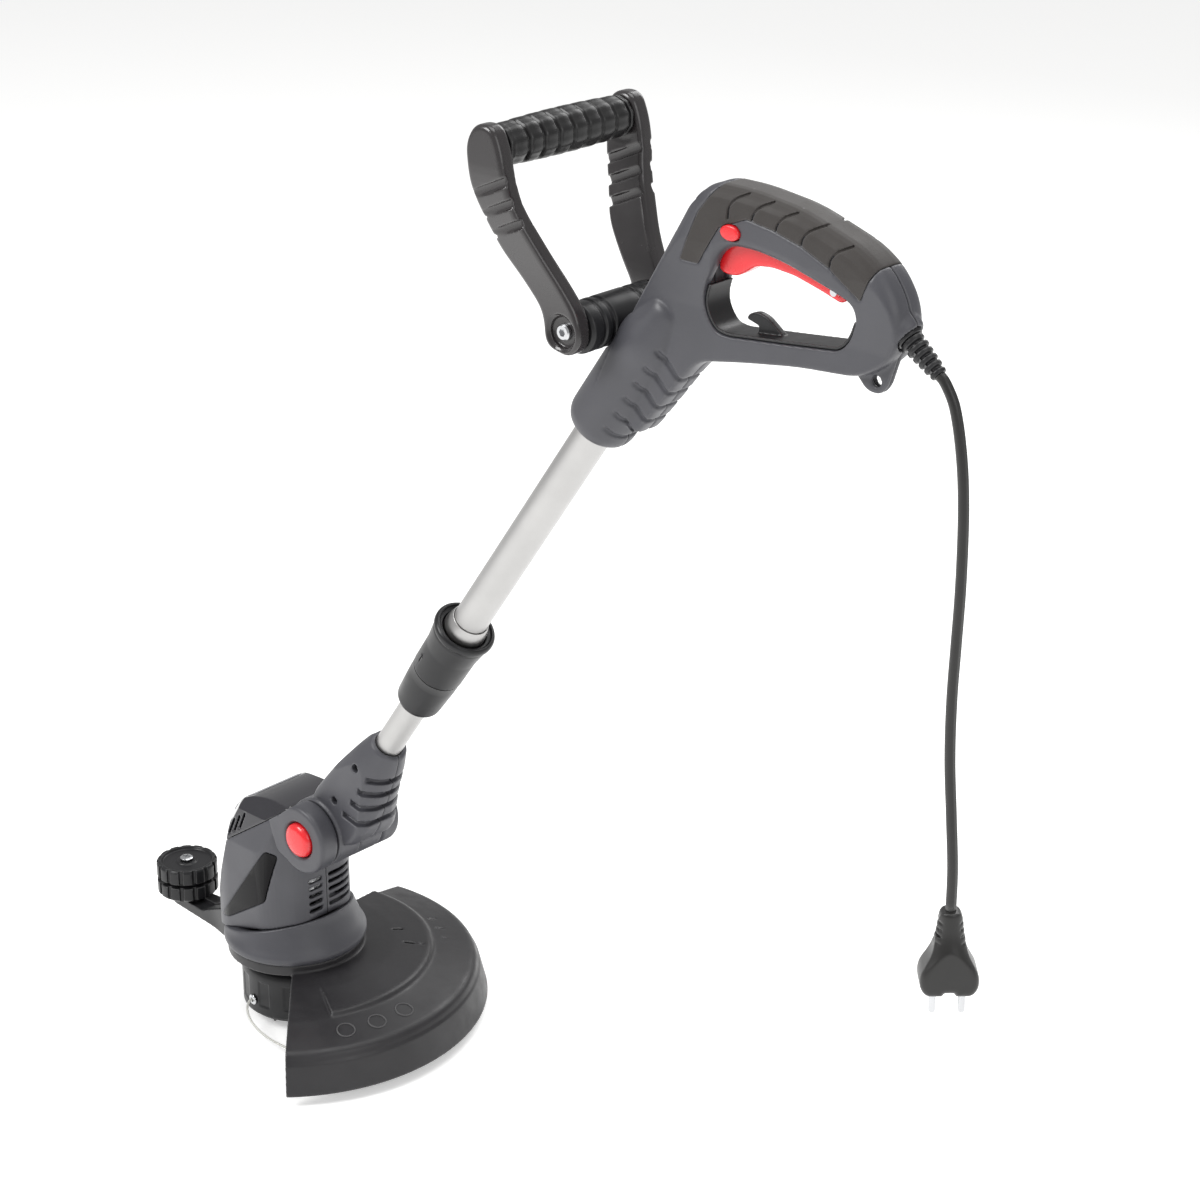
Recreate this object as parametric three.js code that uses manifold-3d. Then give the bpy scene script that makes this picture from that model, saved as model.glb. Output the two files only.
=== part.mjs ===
// Corded string trimmer: rear handle with a hand loop, swinging auxiliary handle,
// telescopic shaft with a twist-lock collar, tilting motor head, guide wheel, guard
// and a bump-feed cutting head. Millimetres, +Z up, +X back to the operator. Sizes are
// laid out from the cutting axis and the ground under the bump knob, and the whole is
// then moved so that its origin is the middle of the rear grip.
import * as THREE from 'three';
import { mergeVertices } from 'three/addons/utils/BufferGeometryUtils.js';
import Module from 'manifold-3d';

const wasm = await Module();
wasm.setup();

// ---------------------------------------------------------------- driving dimensions
const GRIP_CENTRE = { x: 500, z: 745 };
const GAP = 0.3;
const WALL = 3;

// shaft: a straight line through the tilt pivot, rising to the rear
const PIVOT = { x: 57, z: 187 };
const SHAFT_ANGLE = THREE.MathUtils.degToRad(54.8);
const LOWER_TUBE = { radius: 10.75, wall: 1.3, from: 92, to: 500 };
const UPPER_TUBE = { radius: 13, wall: 1.4, from: 172, to: 600 };
const COLLAR = { bottom: 165, seam: 207, top: 260, mouth: 23.5, waist: 19.6, foot: 17, flutes: 8 };
const NECK = { top: 110, radius: 14.8, knuckle: 29, halfWidth: 23 };

// motor head
const HEAD = { halfWidth: 45, cheekInner: 23.6, cheekOuter: 41, cheekRadius: 28 };
const RING = { rim: 67, radius: 58, seat: 88, seamRise: 0.3 };
const MOTOR = { radius: 25, bottom: 96, top: 158, shaft: 4 };
const BUTTON = { radius: 14, proud: 4.5 };
const AXLE = { radius: 9, start: -22, end: 36 };

// guide wheel in front of the head, on an upright axle
const WHEEL = { x: -138, radius: 25.5, bottom: 55, top: 84, bore: 4.3, notches: 12 };

// guard: part of a ring round the cutting axis, angles measured from +X towards +Y
const GUARD = {
  from: -45, to: 102, ridge: 108, crease: 147, skirt: 155.5, bottom: 8, skin: 3,
  screws: [-10, 66], screwCircle: 51,
};

// cutting head
const SPOOL = { radius: 45, top: 53, bottom: 10, wall: 2.6, eyelet: 22, line: 1 };
const EYELET_ANGLES = [-94, 86];

// auxiliary handle, swinging about a crosswise axis in front of the rear housing
const AUX = { x: 350, z: 663, hub: 16, barrel: 17.2, barrelHalf: 36, armThick: 13 };
const AUX_GRIP = { x: -47, z: 116, half: 58, radius: 15.6, core: 7.5 };
const AUX_SPREAD = 22;

// rear housing
const HOUSING = { halfWidth: 17, edge: 4, sleeve: 24, sleeveFrom: 486, sleeveTo: 576 };
const GRIP_SKIN = 1.8;
const LINER = { halfWidth: 11, thick: 2 };
const TRIGGER = { halfWidth: 6.5, pivotX: 541, pivotZ: 721 };
const SWITCH_BOX = { x: 500, z: 750, long: 32, wide: 16, high: 13 };
const LOCK_OFF = { x: 464, z: 744.5, length: 15, height: 10, proud: 2 };

// mains lead: leaves the rear of the housing downwards and hangs free
const CORD = { radius: 3.5, sides: 8, steps: 32 };
const EXIT = { x: 588.6, z: 702.2, angle: THREE.MathUtils.degToRad(-38), relief: 32 };
const exitPoint = (distance) =>
  [EXIT.x + distance * Math.cos(EXIT.angle), EXIT.z + distance * Math.sin(EXIT.angle)];
const CORD_ROUTE = [
  exitPoint(EXIT.relief + GAP), exitPoint(EXIT.relief + 4), [621.8, 673.4], [625.2, 667],
  [628.6, 656], [631.4, 643], [633.8, 628], [635.6, 610], [636.6, 590], [637, 551], [636, 515],
  [635, 477], [636, 437], [639.5, 398], [642.6, 362], [643, 334],
];
const PLUG = {
  length: 58, width: 38, thick: 26, pinGap: 19, pin: 2.4, pinLength: 17,
  turn: THREE.MathUtils.degToRad(43),
};

// ---------------------------------------------------------------- materials
const paint = (color, roughness, metalness = 0) =>
  new THREE.MeshStandardMaterial({ color, roughness, metalness });
const LOOK = {
  shell: () => paint('#5b5b60', 0.45),
  black: () => paint('#232325', 0.4),
  rubber: () => paint('#3a3633', 0.85),
  arm: () => paint('#4a4647', 0.28),
  red: () => paint('#ea2a2e', 0.35),
  trim: () => paint('#8c8c90', 0.4),
  gloss: () => paint('#2f2e33', 0.15),
  guard: () => paint('#46444a', 0.5),
  alloy: () => paint('#cfcdcb', 0.3, 0.9),
  steel: () => paint('#b4b6b8', 0.35, 1),
  lead: () => paint('#2b2826', 0.6),
  line: () => paint('#d9dad6', 0.3),
};

// ---------------------------------------------------------------- solids
// closed mesh -> solid, with an optional placing matrix
function solid(geometry, matrix) {
  const plain = geometry.clone();
  if (matrix) plain.applyMatrix4(matrix);
  plain.deleteAttribute('normal');
  plain.deleteAttribute('uv');
  const merged = mergeVertices(plain, 1e-4);
  return new wasm.Manifold(new wasm.Mesh({
    numProp: 3,
    vertProperties: new Float32Array(merged.attributes.position.array),
    triVerts: new Uint32Array(merged.index.array),
  }));
}

function geometryOf(body) {
  const mesh = body.getMesh();
  const geometry = new THREE.BufferGeometry();
  geometry.setAttribute('position', new THREE.BufferAttribute(mesh.vertProperties, 3));
  geometry.setIndex(new THREE.BufferAttribute(mesh.triVerts, 1));
  geometry.computeVertexNormals();
  return geometry;
}

function node(name, shape, material) {
  const geometry = shape.isBufferGeometry ? shape : geometryOf(shape);
  const mesh = new THREE.Mesh(geometry, material);
  mesh.name = name;
  return mesh;
}

const at = (x, y, z) => new THREE.Matrix4().makeTranslation(x, y, z);
// lathes and cylinders turn about Y; this stands them on Z
const turnedZ = (geometry) => geometry.rotateX(Math.PI / 2);

const box = (x0, x1, y0, y1, z0, z1) =>
  solid(new THREE.BoxGeometry(x1 - x0, y1 - y0, z1 - z0),
    at((x0 + x1) / 2, (y0 + y1) / 2, (z0 + z1) / 2));

// profile of [radius, height] points turned about Z
function lathe(points, segments = 20) {
  const closed = points[0][0] < 1e-6 ? points : [...points, points[0]];
  const profile = closed.map(([r, h]) => new THREE.Vector2(r, h));
  const area = profile.reduce((sum, p, i) => {
    const q = profile[(i + 1) % profile.length];
    return sum + p.x * q.y - q.x * p.y;
  }, 0);
  if (area < 0) profile.reverse();
  return turnedZ(new THREE.LatheGeometry(profile, segments));
}

const ring = (inner, outer, z0, z1, segments) =>
  lathe([[inner, z0], [outer, z0], [outer, z1], [inner, z1]], segments);
const pin = (radius, z0, z1, segments = 20) =>
  turnedZ(new THREE.CylinderGeometry(radius, radius, z1 - z0, segments)).translate(0, 0, (z0 + z1) / 2);
// a cylinder lying along Y, centred on (x, z)
const crossPin = (radius, x, z, y0, y1, segments = 20) =>
  new THREE.CylinderGeometry(radius, radius, y1 - y0, segments).translate(x, (y0 + y1) / 2, z);

// moves every edge of a closed outline inwards by a distance
function inset(points, distance) {
  const area = points.reduce((sum, [x, y], i) => {
    const [u, v] = points[(i + 1) % points.length];
    return sum + x * v - u * y;
  }, 0);
  const side = area > 0 ? distance : -distance;
  return points.map((point, i) => {
    const before = points[(i + points.length - 1) % points.length];
    const after = points[(i + 1) % points.length];
    const a = new THREE.Vector2(point[0] - before[0], point[1] - before[1]).normalize();
    const b = new THREE.Vector2(after[0] - point[0], after[1] - point[1]).normalize();
    const normal = new THREE.Vector2(-a.y - b.y, a.x + b.x).normalize();
    const stretch = side / Math.max(0.4, normal.dot(new THREE.Vector2(-a.y, a.x)));
    return [point[0] + normal.x * stretch, point[1] + normal.y * stretch];
  });
}

// outline with every corner rounded, as far as its edges allow
function rounded(points, radius) {
  const shape = new THREE.Shape();
  points.forEach((point, i) => {
    const here = new THREE.Vector2(...point);
    const before = new THREE.Vector2(...points[(i + points.length - 1) % points.length]);
    const after = new THREE.Vector2(...points[(i + 1) % points.length]);
    const cut = Math.min(radius, before.distanceTo(here) / 2.1, after.distanceTo(here) / 2.1);
    const start = before.clone().sub(here).setLength(cut).add(here);
    const end = after.clone().sub(here).setLength(cut).add(here);
    if (i === 0) shape.moveTo(start.x, start.y);
    else shape.lineTo(start.x, start.y);
    shape.quadraticCurveTo(here.x, here.y, end.x, end.y);
  });
  shape.closePath();
  return shape;
}

const polygon = (points) => new THREE.Shape(points.map((point) => new THREE.Vector2(...point)));

// outline in X and Z, extruded across Y between y0 and y1, with rounded rims
function slab(shape, y0, y1, edge = 0, curveSegments = 3) {
  const geometry = new THREE.ExtrudeGeometry(shape, {
    depth: y1 - y0 - 2 * edge,
    bevelEnabled: edge > 0,
    bevelThickness: edge,
    bevelSize: edge,
    bevelOffset: -edge,
    bevelSegments: 1,
    curveSegments,
  });
  return geometry.rotateX(Math.PI / 2).translate(0, y1 - edge, 0);
}

// outline in X and Y, extruded up Z
function plate(shape, z0, z1, curveSegments = 6) {
  return new THREE.ExtrudeGeometry(shape, { depth: z1 - z0, bevelEnabled: false, curveSegments })
    .translate(0, 0, z0);
}

const join = (...solids) => solids.reduce((a, b) => a.add(b));
// sharp-edged blocks: an outline in X and Z run across, and one in Y and Z run lengthwise
const through = (points, half = 90) => solid(slab(polygon(points), -half, half));
const endOn = (points) => solid(slab(polygon(points), -1000, 1000).rotateZ(-Math.PI / 2));
const LEFT = box(-1000, 1000, -500, -0.15, -500, 1500);
const RIGHT = box(-1000, 1000, 0.15, 500, -500, 1500);

// frame on the shaft: z runs up the shaft from the pivot, x to its underside
const shaftMatrix = new THREE.Matrix4()
  .makeRotationY(Math.PI / 2 - SHAFT_ANGLE)
  .setPosition(PIVOT.x, 0, PIVOT.z);

// pan-head screw along +Z with its head at the bottom
function screw(head, shank, length) {
  return lathe([[0, 0], [head * 0.8, 0], [head, head * 0.25], [head, head * 0.6],
    [shank, head * 0.6], [shank, length], [0, length]], 14);
}

// coil spring along +Z
class Helix extends THREE.Curve {
  constructor(radius, length, turns) {
    super();
    Object.assign(this, { radius, length, turns });
  }

  getPoint(t, target = new THREE.Vector3()) {
    const angle = 2 * Math.PI * this.turns * t;
    return target.set(this.radius * Math.cos(angle), this.radius * Math.sin(angle), this.length * t);
  }
}

function tube(curve, radius, sides, steps) {
  const section = new THREE.Shape();
  for (let i = 0; i < sides; i += 1) {
    const angle = (2 * Math.PI * i) / sides;
    const point = [radius * Math.cos(angle), radius * Math.sin(angle)];
    if (i === 0) section.moveTo(...point);
    else section.lineTo(...point);
  }
  section.closePath();
  return new THREE.ExtrudeGeometry(section, { steps, bevelEnabled: false, extrudePath: curve });
}

const spring = (radius, wire, length, turns) =>
  tube(new Helix(radius, length, turns), wire, 5, turns * 8);

// ---------------------------------------------------------------- shaft
function shaftAssembly() {
  const group = new THREE.Group();
  group.applyMatrix4(shaftMatrix);
  const { radius: lr, wall: lw } = LOWER_TUBE;
  const { radius: ur, wall: uw } = UPPER_TUBE;
  group.add(node('lower_tube', ring(lr - lw, lr, LOWER_TUBE.from, LOWER_TUBE.to, 28), LOOK.alloy()));
  group.add(node('upper_tube', ring(ur - uw, ur, UPPER_TUBE.from, UPPER_TUBE.to, 32), LOOK.alloy()));

  const { bottom, seam, top, mouth, waist, foot } = COLLAR;
  const spigot = ur + 2;
  group.add(node('collar_base', lathe([
    [lr + GAP, bottom], [foot - 3, bottom], [foot - 0.8, bottom + 2], [foot, bottom + 5],
    [waist - 1, seam - 6], [waist - 1, seam - GAP], [spigot, seam - GAP], [spigot, top - 14],
    [ur + GAP, top - 14], [ur + GAP, bottom + 6], [lr + GAP, bottom + 6],
  ]), LOOK.black()));

  const sleeve = solid(lathe([
    [spigot + GAP, seam], [waist, seam], [waist, seam + 3], [waist + 0.4, top - 26],
    [mouth - 1.6, top - 9], [mouth - 1.6, top - 6], [mouth, top - 5], [mouth, top - 1.5],
    [mouth - 1.5, top], [mouth - 3, top], [mouth - 3.4, top - 2.5], [spigot + 2.2, top - 2.5],
    [spigot + 2, top - 8], [spigot + GAP, top - 9],
  ]));
  const flutes = Array.from({ length: COLLAR.flutes }, (_, i) => {
    const angle = (2 * Math.PI * (i + 0.5)) / COLLAR.flutes;
    const reach = waist + 2.2;
    return solid(new THREE.CapsuleGeometry(2.6, 22, 2, 6).rotateX(Math.PI / 2),
      at(reach * Math.cos(angle), reach * Math.sin(angle), (seam + top) / 2 - 6));
  });
  group.add(node('collar_sleeve', sleeve.subtract(join(...flutes)), LOOK.black()));
  group.add(node('collar_bush', lathe([
    [ur + GAP, top - 6], [ur + 3.2, top - 6], [ur + 3.2, top + 1], [ur + 2.2, top + 4],
    [ur + 0.9, top + 9], [ur + GAP, top + 9],
  ]), LOOK.alloy()));
  return group;
}

// ---------------------------------------------------------------- neck
function neckSolids() {
  // side outline in the shaft frame: x to the underside, z up the shaft
  const outline = [
    [-NECK.radius, NECK.top], [NECK.radius, NECK.top], [17.5, 98], [22, 82], [26, 60],
    [32, 40], [32, 22], [20, 8], [-18, 8], [-24, 24], [-21, 58],
  ];
  const plan = [[-60, -21], [-60, 21], [60, 21], [60, -21]];
  const body = solid(slab(rounded(outline, 6), -21, 21, 6, 2));
  const cone = solid(lathe([[0, 8], [46, 8], [38, 30], [27, 60], [19.5, 92], [NECK.radius, NECK.top],
    [0, NECK.top]]));
  const bodyRound = body.intersect(cone).intersect(solid(plate(rounded(plan, 12), 0, 200)));
  const ribs = [94, 76, 58, 42].map((height) => solid(
    slab(polygon([[16, height], [51, height - 2], [51, height + 2]]), -30, 30),
  ));
  const core = solid(lathe([[0, 8], [15, 8], [17, 40], [13.6, NECK.top - 4], [0, NECK.top - 4]], 28));
  const grooved = bodyRound.subtract(join(...ribs).subtract(core));
  const knuckle = solid(crossPin(NECK.knuckle - 1, 0, 0, -NECK.halfWidth, NECK.halfWidth, 32));
  return grooved.add(knuckle);
}

function neckAssembly() {
  const group = new THREE.Group();
  group.applyMatrix4(shaftMatrix);
  const socket = solid(pin(LOWER_TUBE.radius + GAP, LOWER_TUBE.from - GAP, 300, 28));
  const wire = solid(pin(8, 20, 120, 20));
  const axle = solid(crossPin(9 + GAP, 0, 0, -60, 60));
  const full = neckSolids().subtract(join(socket, wire, axle));
  const screwHoles = [[0, 78], [0, 40]].map(([x, z]) => solid(crossPin(4, x - 16, z, -60, -14, 16)));
  group.add(node('neck_left', full.intersect(LEFT).subtract(join(...screwHoles)), LOOK.shell()));
  group.add(node('neck_right', full.intersect(RIGHT), LOOK.shell()));
  return group;
}

// ---------------------------------------------------------------- motor head
const HEAD_SIDE = [
  [-55, 60], [-57, 104], [-51, 140], [-40, 172], [-17, 199], [10, 205], [32, 203.5],
  [44, 190], [46, 150], [42, 128], [41, 60],
];
const HEAD_PLAN = [
  [-58, -16], [-50, -38], [-34, -45], [18, -45], [41, -24],
  [41, 24], [18, 45], [-34, 45], [-50, 38], [-58, 16],
];
// the same head from the front, in Y and Z
const HEAD_FRONT = [
  [-45, 40], [-45, 160], [-37, 188], [-20, 208], [20, 208], [37, 188], [45, 160], [45, 40],
];
// each front corner is cut by planes that lean back: reach from the axis, and height
const HEAD_CORNER = [
  [-62.5, 40], [-62.5, 92], [-57, 128], [-48, 170], [-38, 190], [-24, 208], [200, 208], [200, 40],
];
const CORNER_TURN = THREE.MathUtils.degToRad(43);
const CHEEK_SIDE = [[20, 196], [30, 168], [57, 160], [76, 166], [62, 186], [34, 203]];
const BADGE = [[-29, 89], [15, 118], [26, 160], [18, 163], [-38, 87]];
const BADGE_PROUD = 0.2;
// louvres in the rear face, each side of the seam
const VENTS = { columns: [[-23, -4], [5, 18]], rows: 5, bottom: 106, pitch: 6.6, high: 3 };
// the cap covers the front and top above this slanting line
const CAP_ZONE = [[-70, 124], [-42, 149], [12, 186], [36, 203], [60, 222], [60, 260], [-90, 260]];
// the wedge that the neck swings through
const SWING = [[57, 187], [26, 222], [40, 300], [200, 300], [200, 120], [66, 160]];

function headBody(shrink) {
  const half = HEAD.halfWidth - shrink;
  const side = solid(slab(rounded(inset(HEAD_SIDE, shrink), 14), -half, half, 5));
  const plan = solid(plate(rounded(inset(HEAD_PLAN, shrink), 12), 40, 230, 3));
  const corners = [-1, 1].map((turn) => solid(
    slab(polygon(inset(HEAD_CORNER, shrink)), -200, 200),
    new THREE.Matrix4().makeRotationZ(turn * CORNER_TURN),
  ));
  return corners.reduce((body, corner) => body.intersect(corner), side.intersect(plan))
    .intersect(endOn(inset(HEAD_FRONT, shrink)));
}

// everything of the head below the sloping seam belongs to the base ring
function belowSeam(offset) {
  const height = (x) => RING.seat + offset + x * RING.seamRise;
  return through([[-120, height(-120)], [120, height(120)], [120, 0], [-120, 0]]);
}

function swingRoom() {
  const { cheekInner } = HEAD;
  return join(
    solid(crossPin(NECK.knuckle + 2.2, PIVOT.x, PIVOT.z, -cheekInner, cheekInner, 32)),
    through(SWING, cheekInner),
  );
}

function ventSlots() {
  const { columns, rows, bottom, pitch, high } = VENTS;
  return join(...columns.flatMap(([from, to]) => Array.from({ length: rows }, (_, row) => {
    const start = bottom + pitch * row;
    return box(30, 60, from, to, start, start + high);
  })));
}

// name plate: a thin skin of the head's own face, and the recess it sits in
const badgePlate = () => through(BADGE).intersect(headBody(-BADGE_PROUD)).subtract(headBody(1));
const badgeRecess = () => through(inset(BADGE, -GAP)).subtract(headBody(1 + GAP));

function housingShells() {
  const { cheekInner, cheekOuter, cheekRadius } = HEAD;
  const cheek = (y0, y1) => join(
    solid(crossPin(cheekRadius, PIVOT.x, PIVOT.z, y0, y1, 32)),
    solid(slab(rounded(CHEEK_SIDE, 4), y0, y1)),
  );
  const outer = join(headBody(0), cheek(-cheekOuter, -cheekInner), cheek(cheekInner, cheekOuter));
  const cavity = headBody(WALL).intersect(box(-80, 38, -60, 60, 60, 182))
    .subtract(solid(crossPin(NECK.knuckle + 5, PIVOT.x, PIVOT.z, -60, 60, 32)))
    .subtract(through(inset(CAP_ZONE, -WALL)));
  const cuts = join(
    swingRoom(),
    belowSeam(0),
    through(inset(CAP_ZONE, -GAP)),
    solid(crossPin(BUTTON.radius + GAP, PIVOT.x, PIVOT.z, -60, -cheekInner + 5)),
    solid(crossPin(AXLE.radius + GAP, PIVOT.x, PIVOT.z, -cheekInner - 1, AXLE.end + GAP)),
    cavity,
    ventSlots(),
    badgeRecess(),
  );
  return outer.subtract(cuts);
}

function topCap() {
  const slots = [-1, 0, 1].map((i) => box(-70, -34, 6 * i - 25.5, 6 * i - 22.5, 150, 164));
  const inside = headBody(WALL).intersect(box(-80, 20, -60, 60, 60, 260));
  return headBody(0).intersect(through(CAP_ZONE)).subtract(join(swingRoom(), inside, ...slots));
}

const guardScrewPlaces = () => GUARD.screws.map((turn) => {
  const angle = THREE.MathUtils.degToRad(turn);
  return [GUARD.screwCircle * Math.cos(angle), GUARD.screwCircle * Math.sin(angle)];
});

function baseRing() {
  const { rim, radius, seat } = RING;
  const wall = solid(lathe([
    [5.5, 78], [radius - 8, 78], [radius - 4, 74], [radius - 4, rim], [radius - 1.5, rim],
    [radius, rim + 3], [radius, 73], [radius - 3.5, 79], [radius - 7, seat], [radius - 10, 96],
    [radius - 11.5, 104], [radius - 11.5, 112], [radius - 15.5, 112], [radius - 15.5, 104],
    [radius - 14, 96], [radius - 11, seat], [radius - 9.5, 82], [5.5, 82],
  ], 36));
  const bosses = guardScrewPlaces().map(([x, y]) => solid(ring(2.3, 5.2, rim, 80, 20), at(x, y, 0)));
  return wall.intersect(belowSeam(-GAP)).add(join(...bosses));
}

function headAssembly() {
  const group = new THREE.Group();
  const shells = housingShells();
  group.add(node('motor_housing_left', shells.intersect(LEFT), LOOK.shell()));
  group.add(node('motor_housing_right', shells.intersect(RIGHT), LOOK.shell()));
  group.add(node('top_cap', topCap(), LOOK.gloss()));
  group.add(node('badge_left', badgePlate().intersect(LEFT), LOOK.black()));
  group.add(node('badge_right', badgePlate().intersect(RIGHT), LOOK.black()));
  group.add(node('base_ring', baseRing(), LOOK.shell()));

  const { radius, bottom, top, shaft } = MOTOR;
  group.add(node('motor', lathe([
    [shaft + GAP, bottom], [radius - 6, bottom], [radius - 5, bottom + 6], [radius, bottom + 8],
    [radius, top - 8], [radius - 6, top - 6], [radius - 8, top], [shaft + GAP, top],
  ]), LOOK.steel()));
  group.add(node('motor_bearing', ring(shaft + GAP, 11, 82 + GAP, 90, 28), LOOK.steel()));
  const axle = crossPin(AXLE.radius, PIVOT.x, PIVOT.z, AXLE.start, AXLE.end);
  group.add(node('pivot_axle', axle, LOOK.steel()));
  return group;
}

function tiltButton() {
  const group = new THREE.Group();
  const { radius, proud } = BUTTON;
  const face = HEAD.cheekOuter + proud;
  group.position.set(PIVOT.x, 0, PIVOT.z);
  group.rotation.x = Math.PI / 2;
  group.add(node('tilt_button', lathe([
    [0, 31], [radius, 31], [radius, face - 4], [radius - 1.2, face - 2.2],
    [radius - 5, face - 0.7], [0, face],
  ]), LOOK.red()));
  group.add(node('button_spring', spring(6, 0.7, 3, 2).translate(0, 0, 24.2), LOOK.steel()));
  return group;
}

// ---------------------------------------------------------------- guide wheel
function wheelBracket() {
  const { x, bottom, bore } = WHEEL;
  const arm = [
    [x - 13, bottom - 12], [x - 13, bottom - 3], [x + 34, bottom - 3], [x + 54, 62],
    [-66, 71], [-59, 71], [-59, 50], [-70, bottom - 12],
  ];
  const plan = [
    [x - 13, -10], [x + 13, -12], [-86, -15], [-52, -23], [-52, 23], [-86, 15], [x + 13, 12], [x - 13, 10],
  ];
  const body = solid(slab(rounded(arm, 3), -24, 24, 1.5)).intersect(solid(plate(rounded(plan, 8), 30, 90)));
  const keepOut = solid(pin(RING.radius + GAP, 30, 90, 36));
  return body.subtract(join(keepOut, solid(pin(bore, 30, 60), at(x, 0, 0))));
}

function guideWheel() {
  const { radius, bottom, top, bore, notches } = WHEEL;
  const middle = (bottom + top) / 2;
  const tyre = solid(lathe([
    [bore + 0.4, bottom], [radius - 1.2, bottom], [radius, bottom + 1.5], [radius, middle - 1.8],
    [radius - 5, middle - 1.8], [radius - 5, middle + 1.8], [radius, middle + 1.8], [radius, top - 1.5],
    [radius - 1.2, top], [radius - 4.5, top], [radius - 6, top - 2.5], [8, top - 2.5], [7, top - 1.2],
    [bore + 0.4, top - 1.2],
  ]));
  const cuts = Array.from({ length: notches }, (_, i) => solid(
    new THREE.BoxGeometry(2.6, 3.4, top - bottom + 2),
    new THREE.Matrix4().makeRotationZ((2 * Math.PI * i) / notches).multiply(at(radius + 0.2, 0, middle)),
  ));
  return tyre.subtract(join(...cuts));
}

function wheelAssembly() {
  const group = new THREE.Group();
  const { x, bottom, top, bore } = WHEEL;
  group.add(node('wheel_bracket', wheelBracket(), LOOK.black()));
  const wheel = node('guide_wheel', guideWheel(), LOOK.black());
  const bolt = node('wheel_axle', lathe([
    [0, bottom - 14], [bore - GAP, bottom - 14], [bore - GAP, top + 0.2], [6.4, top + 0.2],
    [6.4, top + 1.6], [4.4, top + 3], [0, top + 3.2],
  ], 24), LOOK.steel());
  wheel.position.x = x;
  bolt.position.x = x;
  return group.add(wheel, bolt);
}

// ---------------------------------------------------------------- guard
function sector(from, to, radius) {
  const start = THREE.MathUtils.degToRad(from);
  const shape = new THREE.Shape();
  shape.moveTo(0, 0);
  shape.lineTo(radius * Math.cos(start), radius * Math.sin(start));
  shape.absarc(0, 0, radius, start, THREE.MathUtils.degToRad(to), false);
  shape.closePath();
  return solid(plate(shape, -20, 120, 16));
}

function guardBody() {
  const { from, to, ridge, crease, skirt, bottom, skin } = GUARD;
  const top = RING.rim - GAP;
  const shell = solid(lathe([
    [55, top - 7], [ridge - 2, top - 12], [ridge + 2, top - 15], [crease - 4, top - 24],
    [crease, top - 28], [skirt, bottom], [skirt - skin, bottom], [crease - skin, top - 30],
    [crease - 6, top - 27], [ridge, top - 18], [ridge - 4, top - 15], [48, top - 10],
    [48, top - 1], [55, top - 1],
  ], 48));
  return shell.intersect(sector(from, to, 200)).add(solid(ring(47, 55.5, top - 9, top, 48)));
}

function guardAssembly() {
  const group = new THREE.Group();
  const places = guardScrewPlaces();
  const holes = places.map(([x, y]) => solid(pin(2.3, 40, 90, 16), at(x, y, 0)));
  group.add(node('guard', guardBody().subtract(join(...holes)), LOOK.guard()));
  places.forEach(([x, y], i) => {
    const fixing = node(`guard_screw_${i + 1}`, screw(4.2, 2, 15), LOOK.steel());
    fixing.position.set(x, y, 53.5);
    group.add(fixing);
  });
  const blade = slab(rounded([[128, 22], [134, 14], [149.5, 12], [144.5, 30], [134, 33]], 1.5), -0.7, 0.7);
  const cutter = node('line_cutter', blade, LOOK.steel());
  cutter.rotation.z = THREE.MathUtils.degToRad(GUARD.to - 4);
  return group.add(cutter);
}

// ---------------------------------------------------------------- cutting head
function spoolHousing() {
  const { radius, top, bottom, wall, eyelet } = SPOOL;
  const bore = MOTOR.shaft + GAP;
  const cup = solid(lathe([
    [bore, top - 4], [radius - 8, top - 4], [radius - wall - 1, top - 8], [radius - wall, bottom],
    [radius, bottom], [radius, top - 10], [radius - 1, top - 6], [radius - 7, top], [10, top],
    [10, top + 10], [bore, top + 10],
  ], 28));
  const ports = EYELET_ANGLES.map((turn) => solid(
    new THREE.CylinderGeometry(3.4, 3.4, 20, 14),
    new THREE.Matrix4().makeRotationZ(THREE.MathUtils.degToRad(turn - 90)).multiply(at(0, radius, eyelet)),
  ));
  return cup.subtract(join(...ports));
}

// the line leaves its eyelet straight, then droops and curls back round the head
function headLine() {
  const { radius, eyelet, line } = SPOOL;
  const route = [
    [-3, 0, 0], [4, 0, 0], [9, 3, -2.5], [13, 10, -6], [16, 22, -9], [17, 40, -11],
    [14, 62, -12], [6, 85, -12], [-6, 104, -12],
  ];
  const points = route.map(([out, side, rise]) => new THREE.Vector3(radius + out, side, eyelet + rise));
  return tube(new THREE.CatmullRomCurve3(points), line, 6, 24);
}

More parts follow.
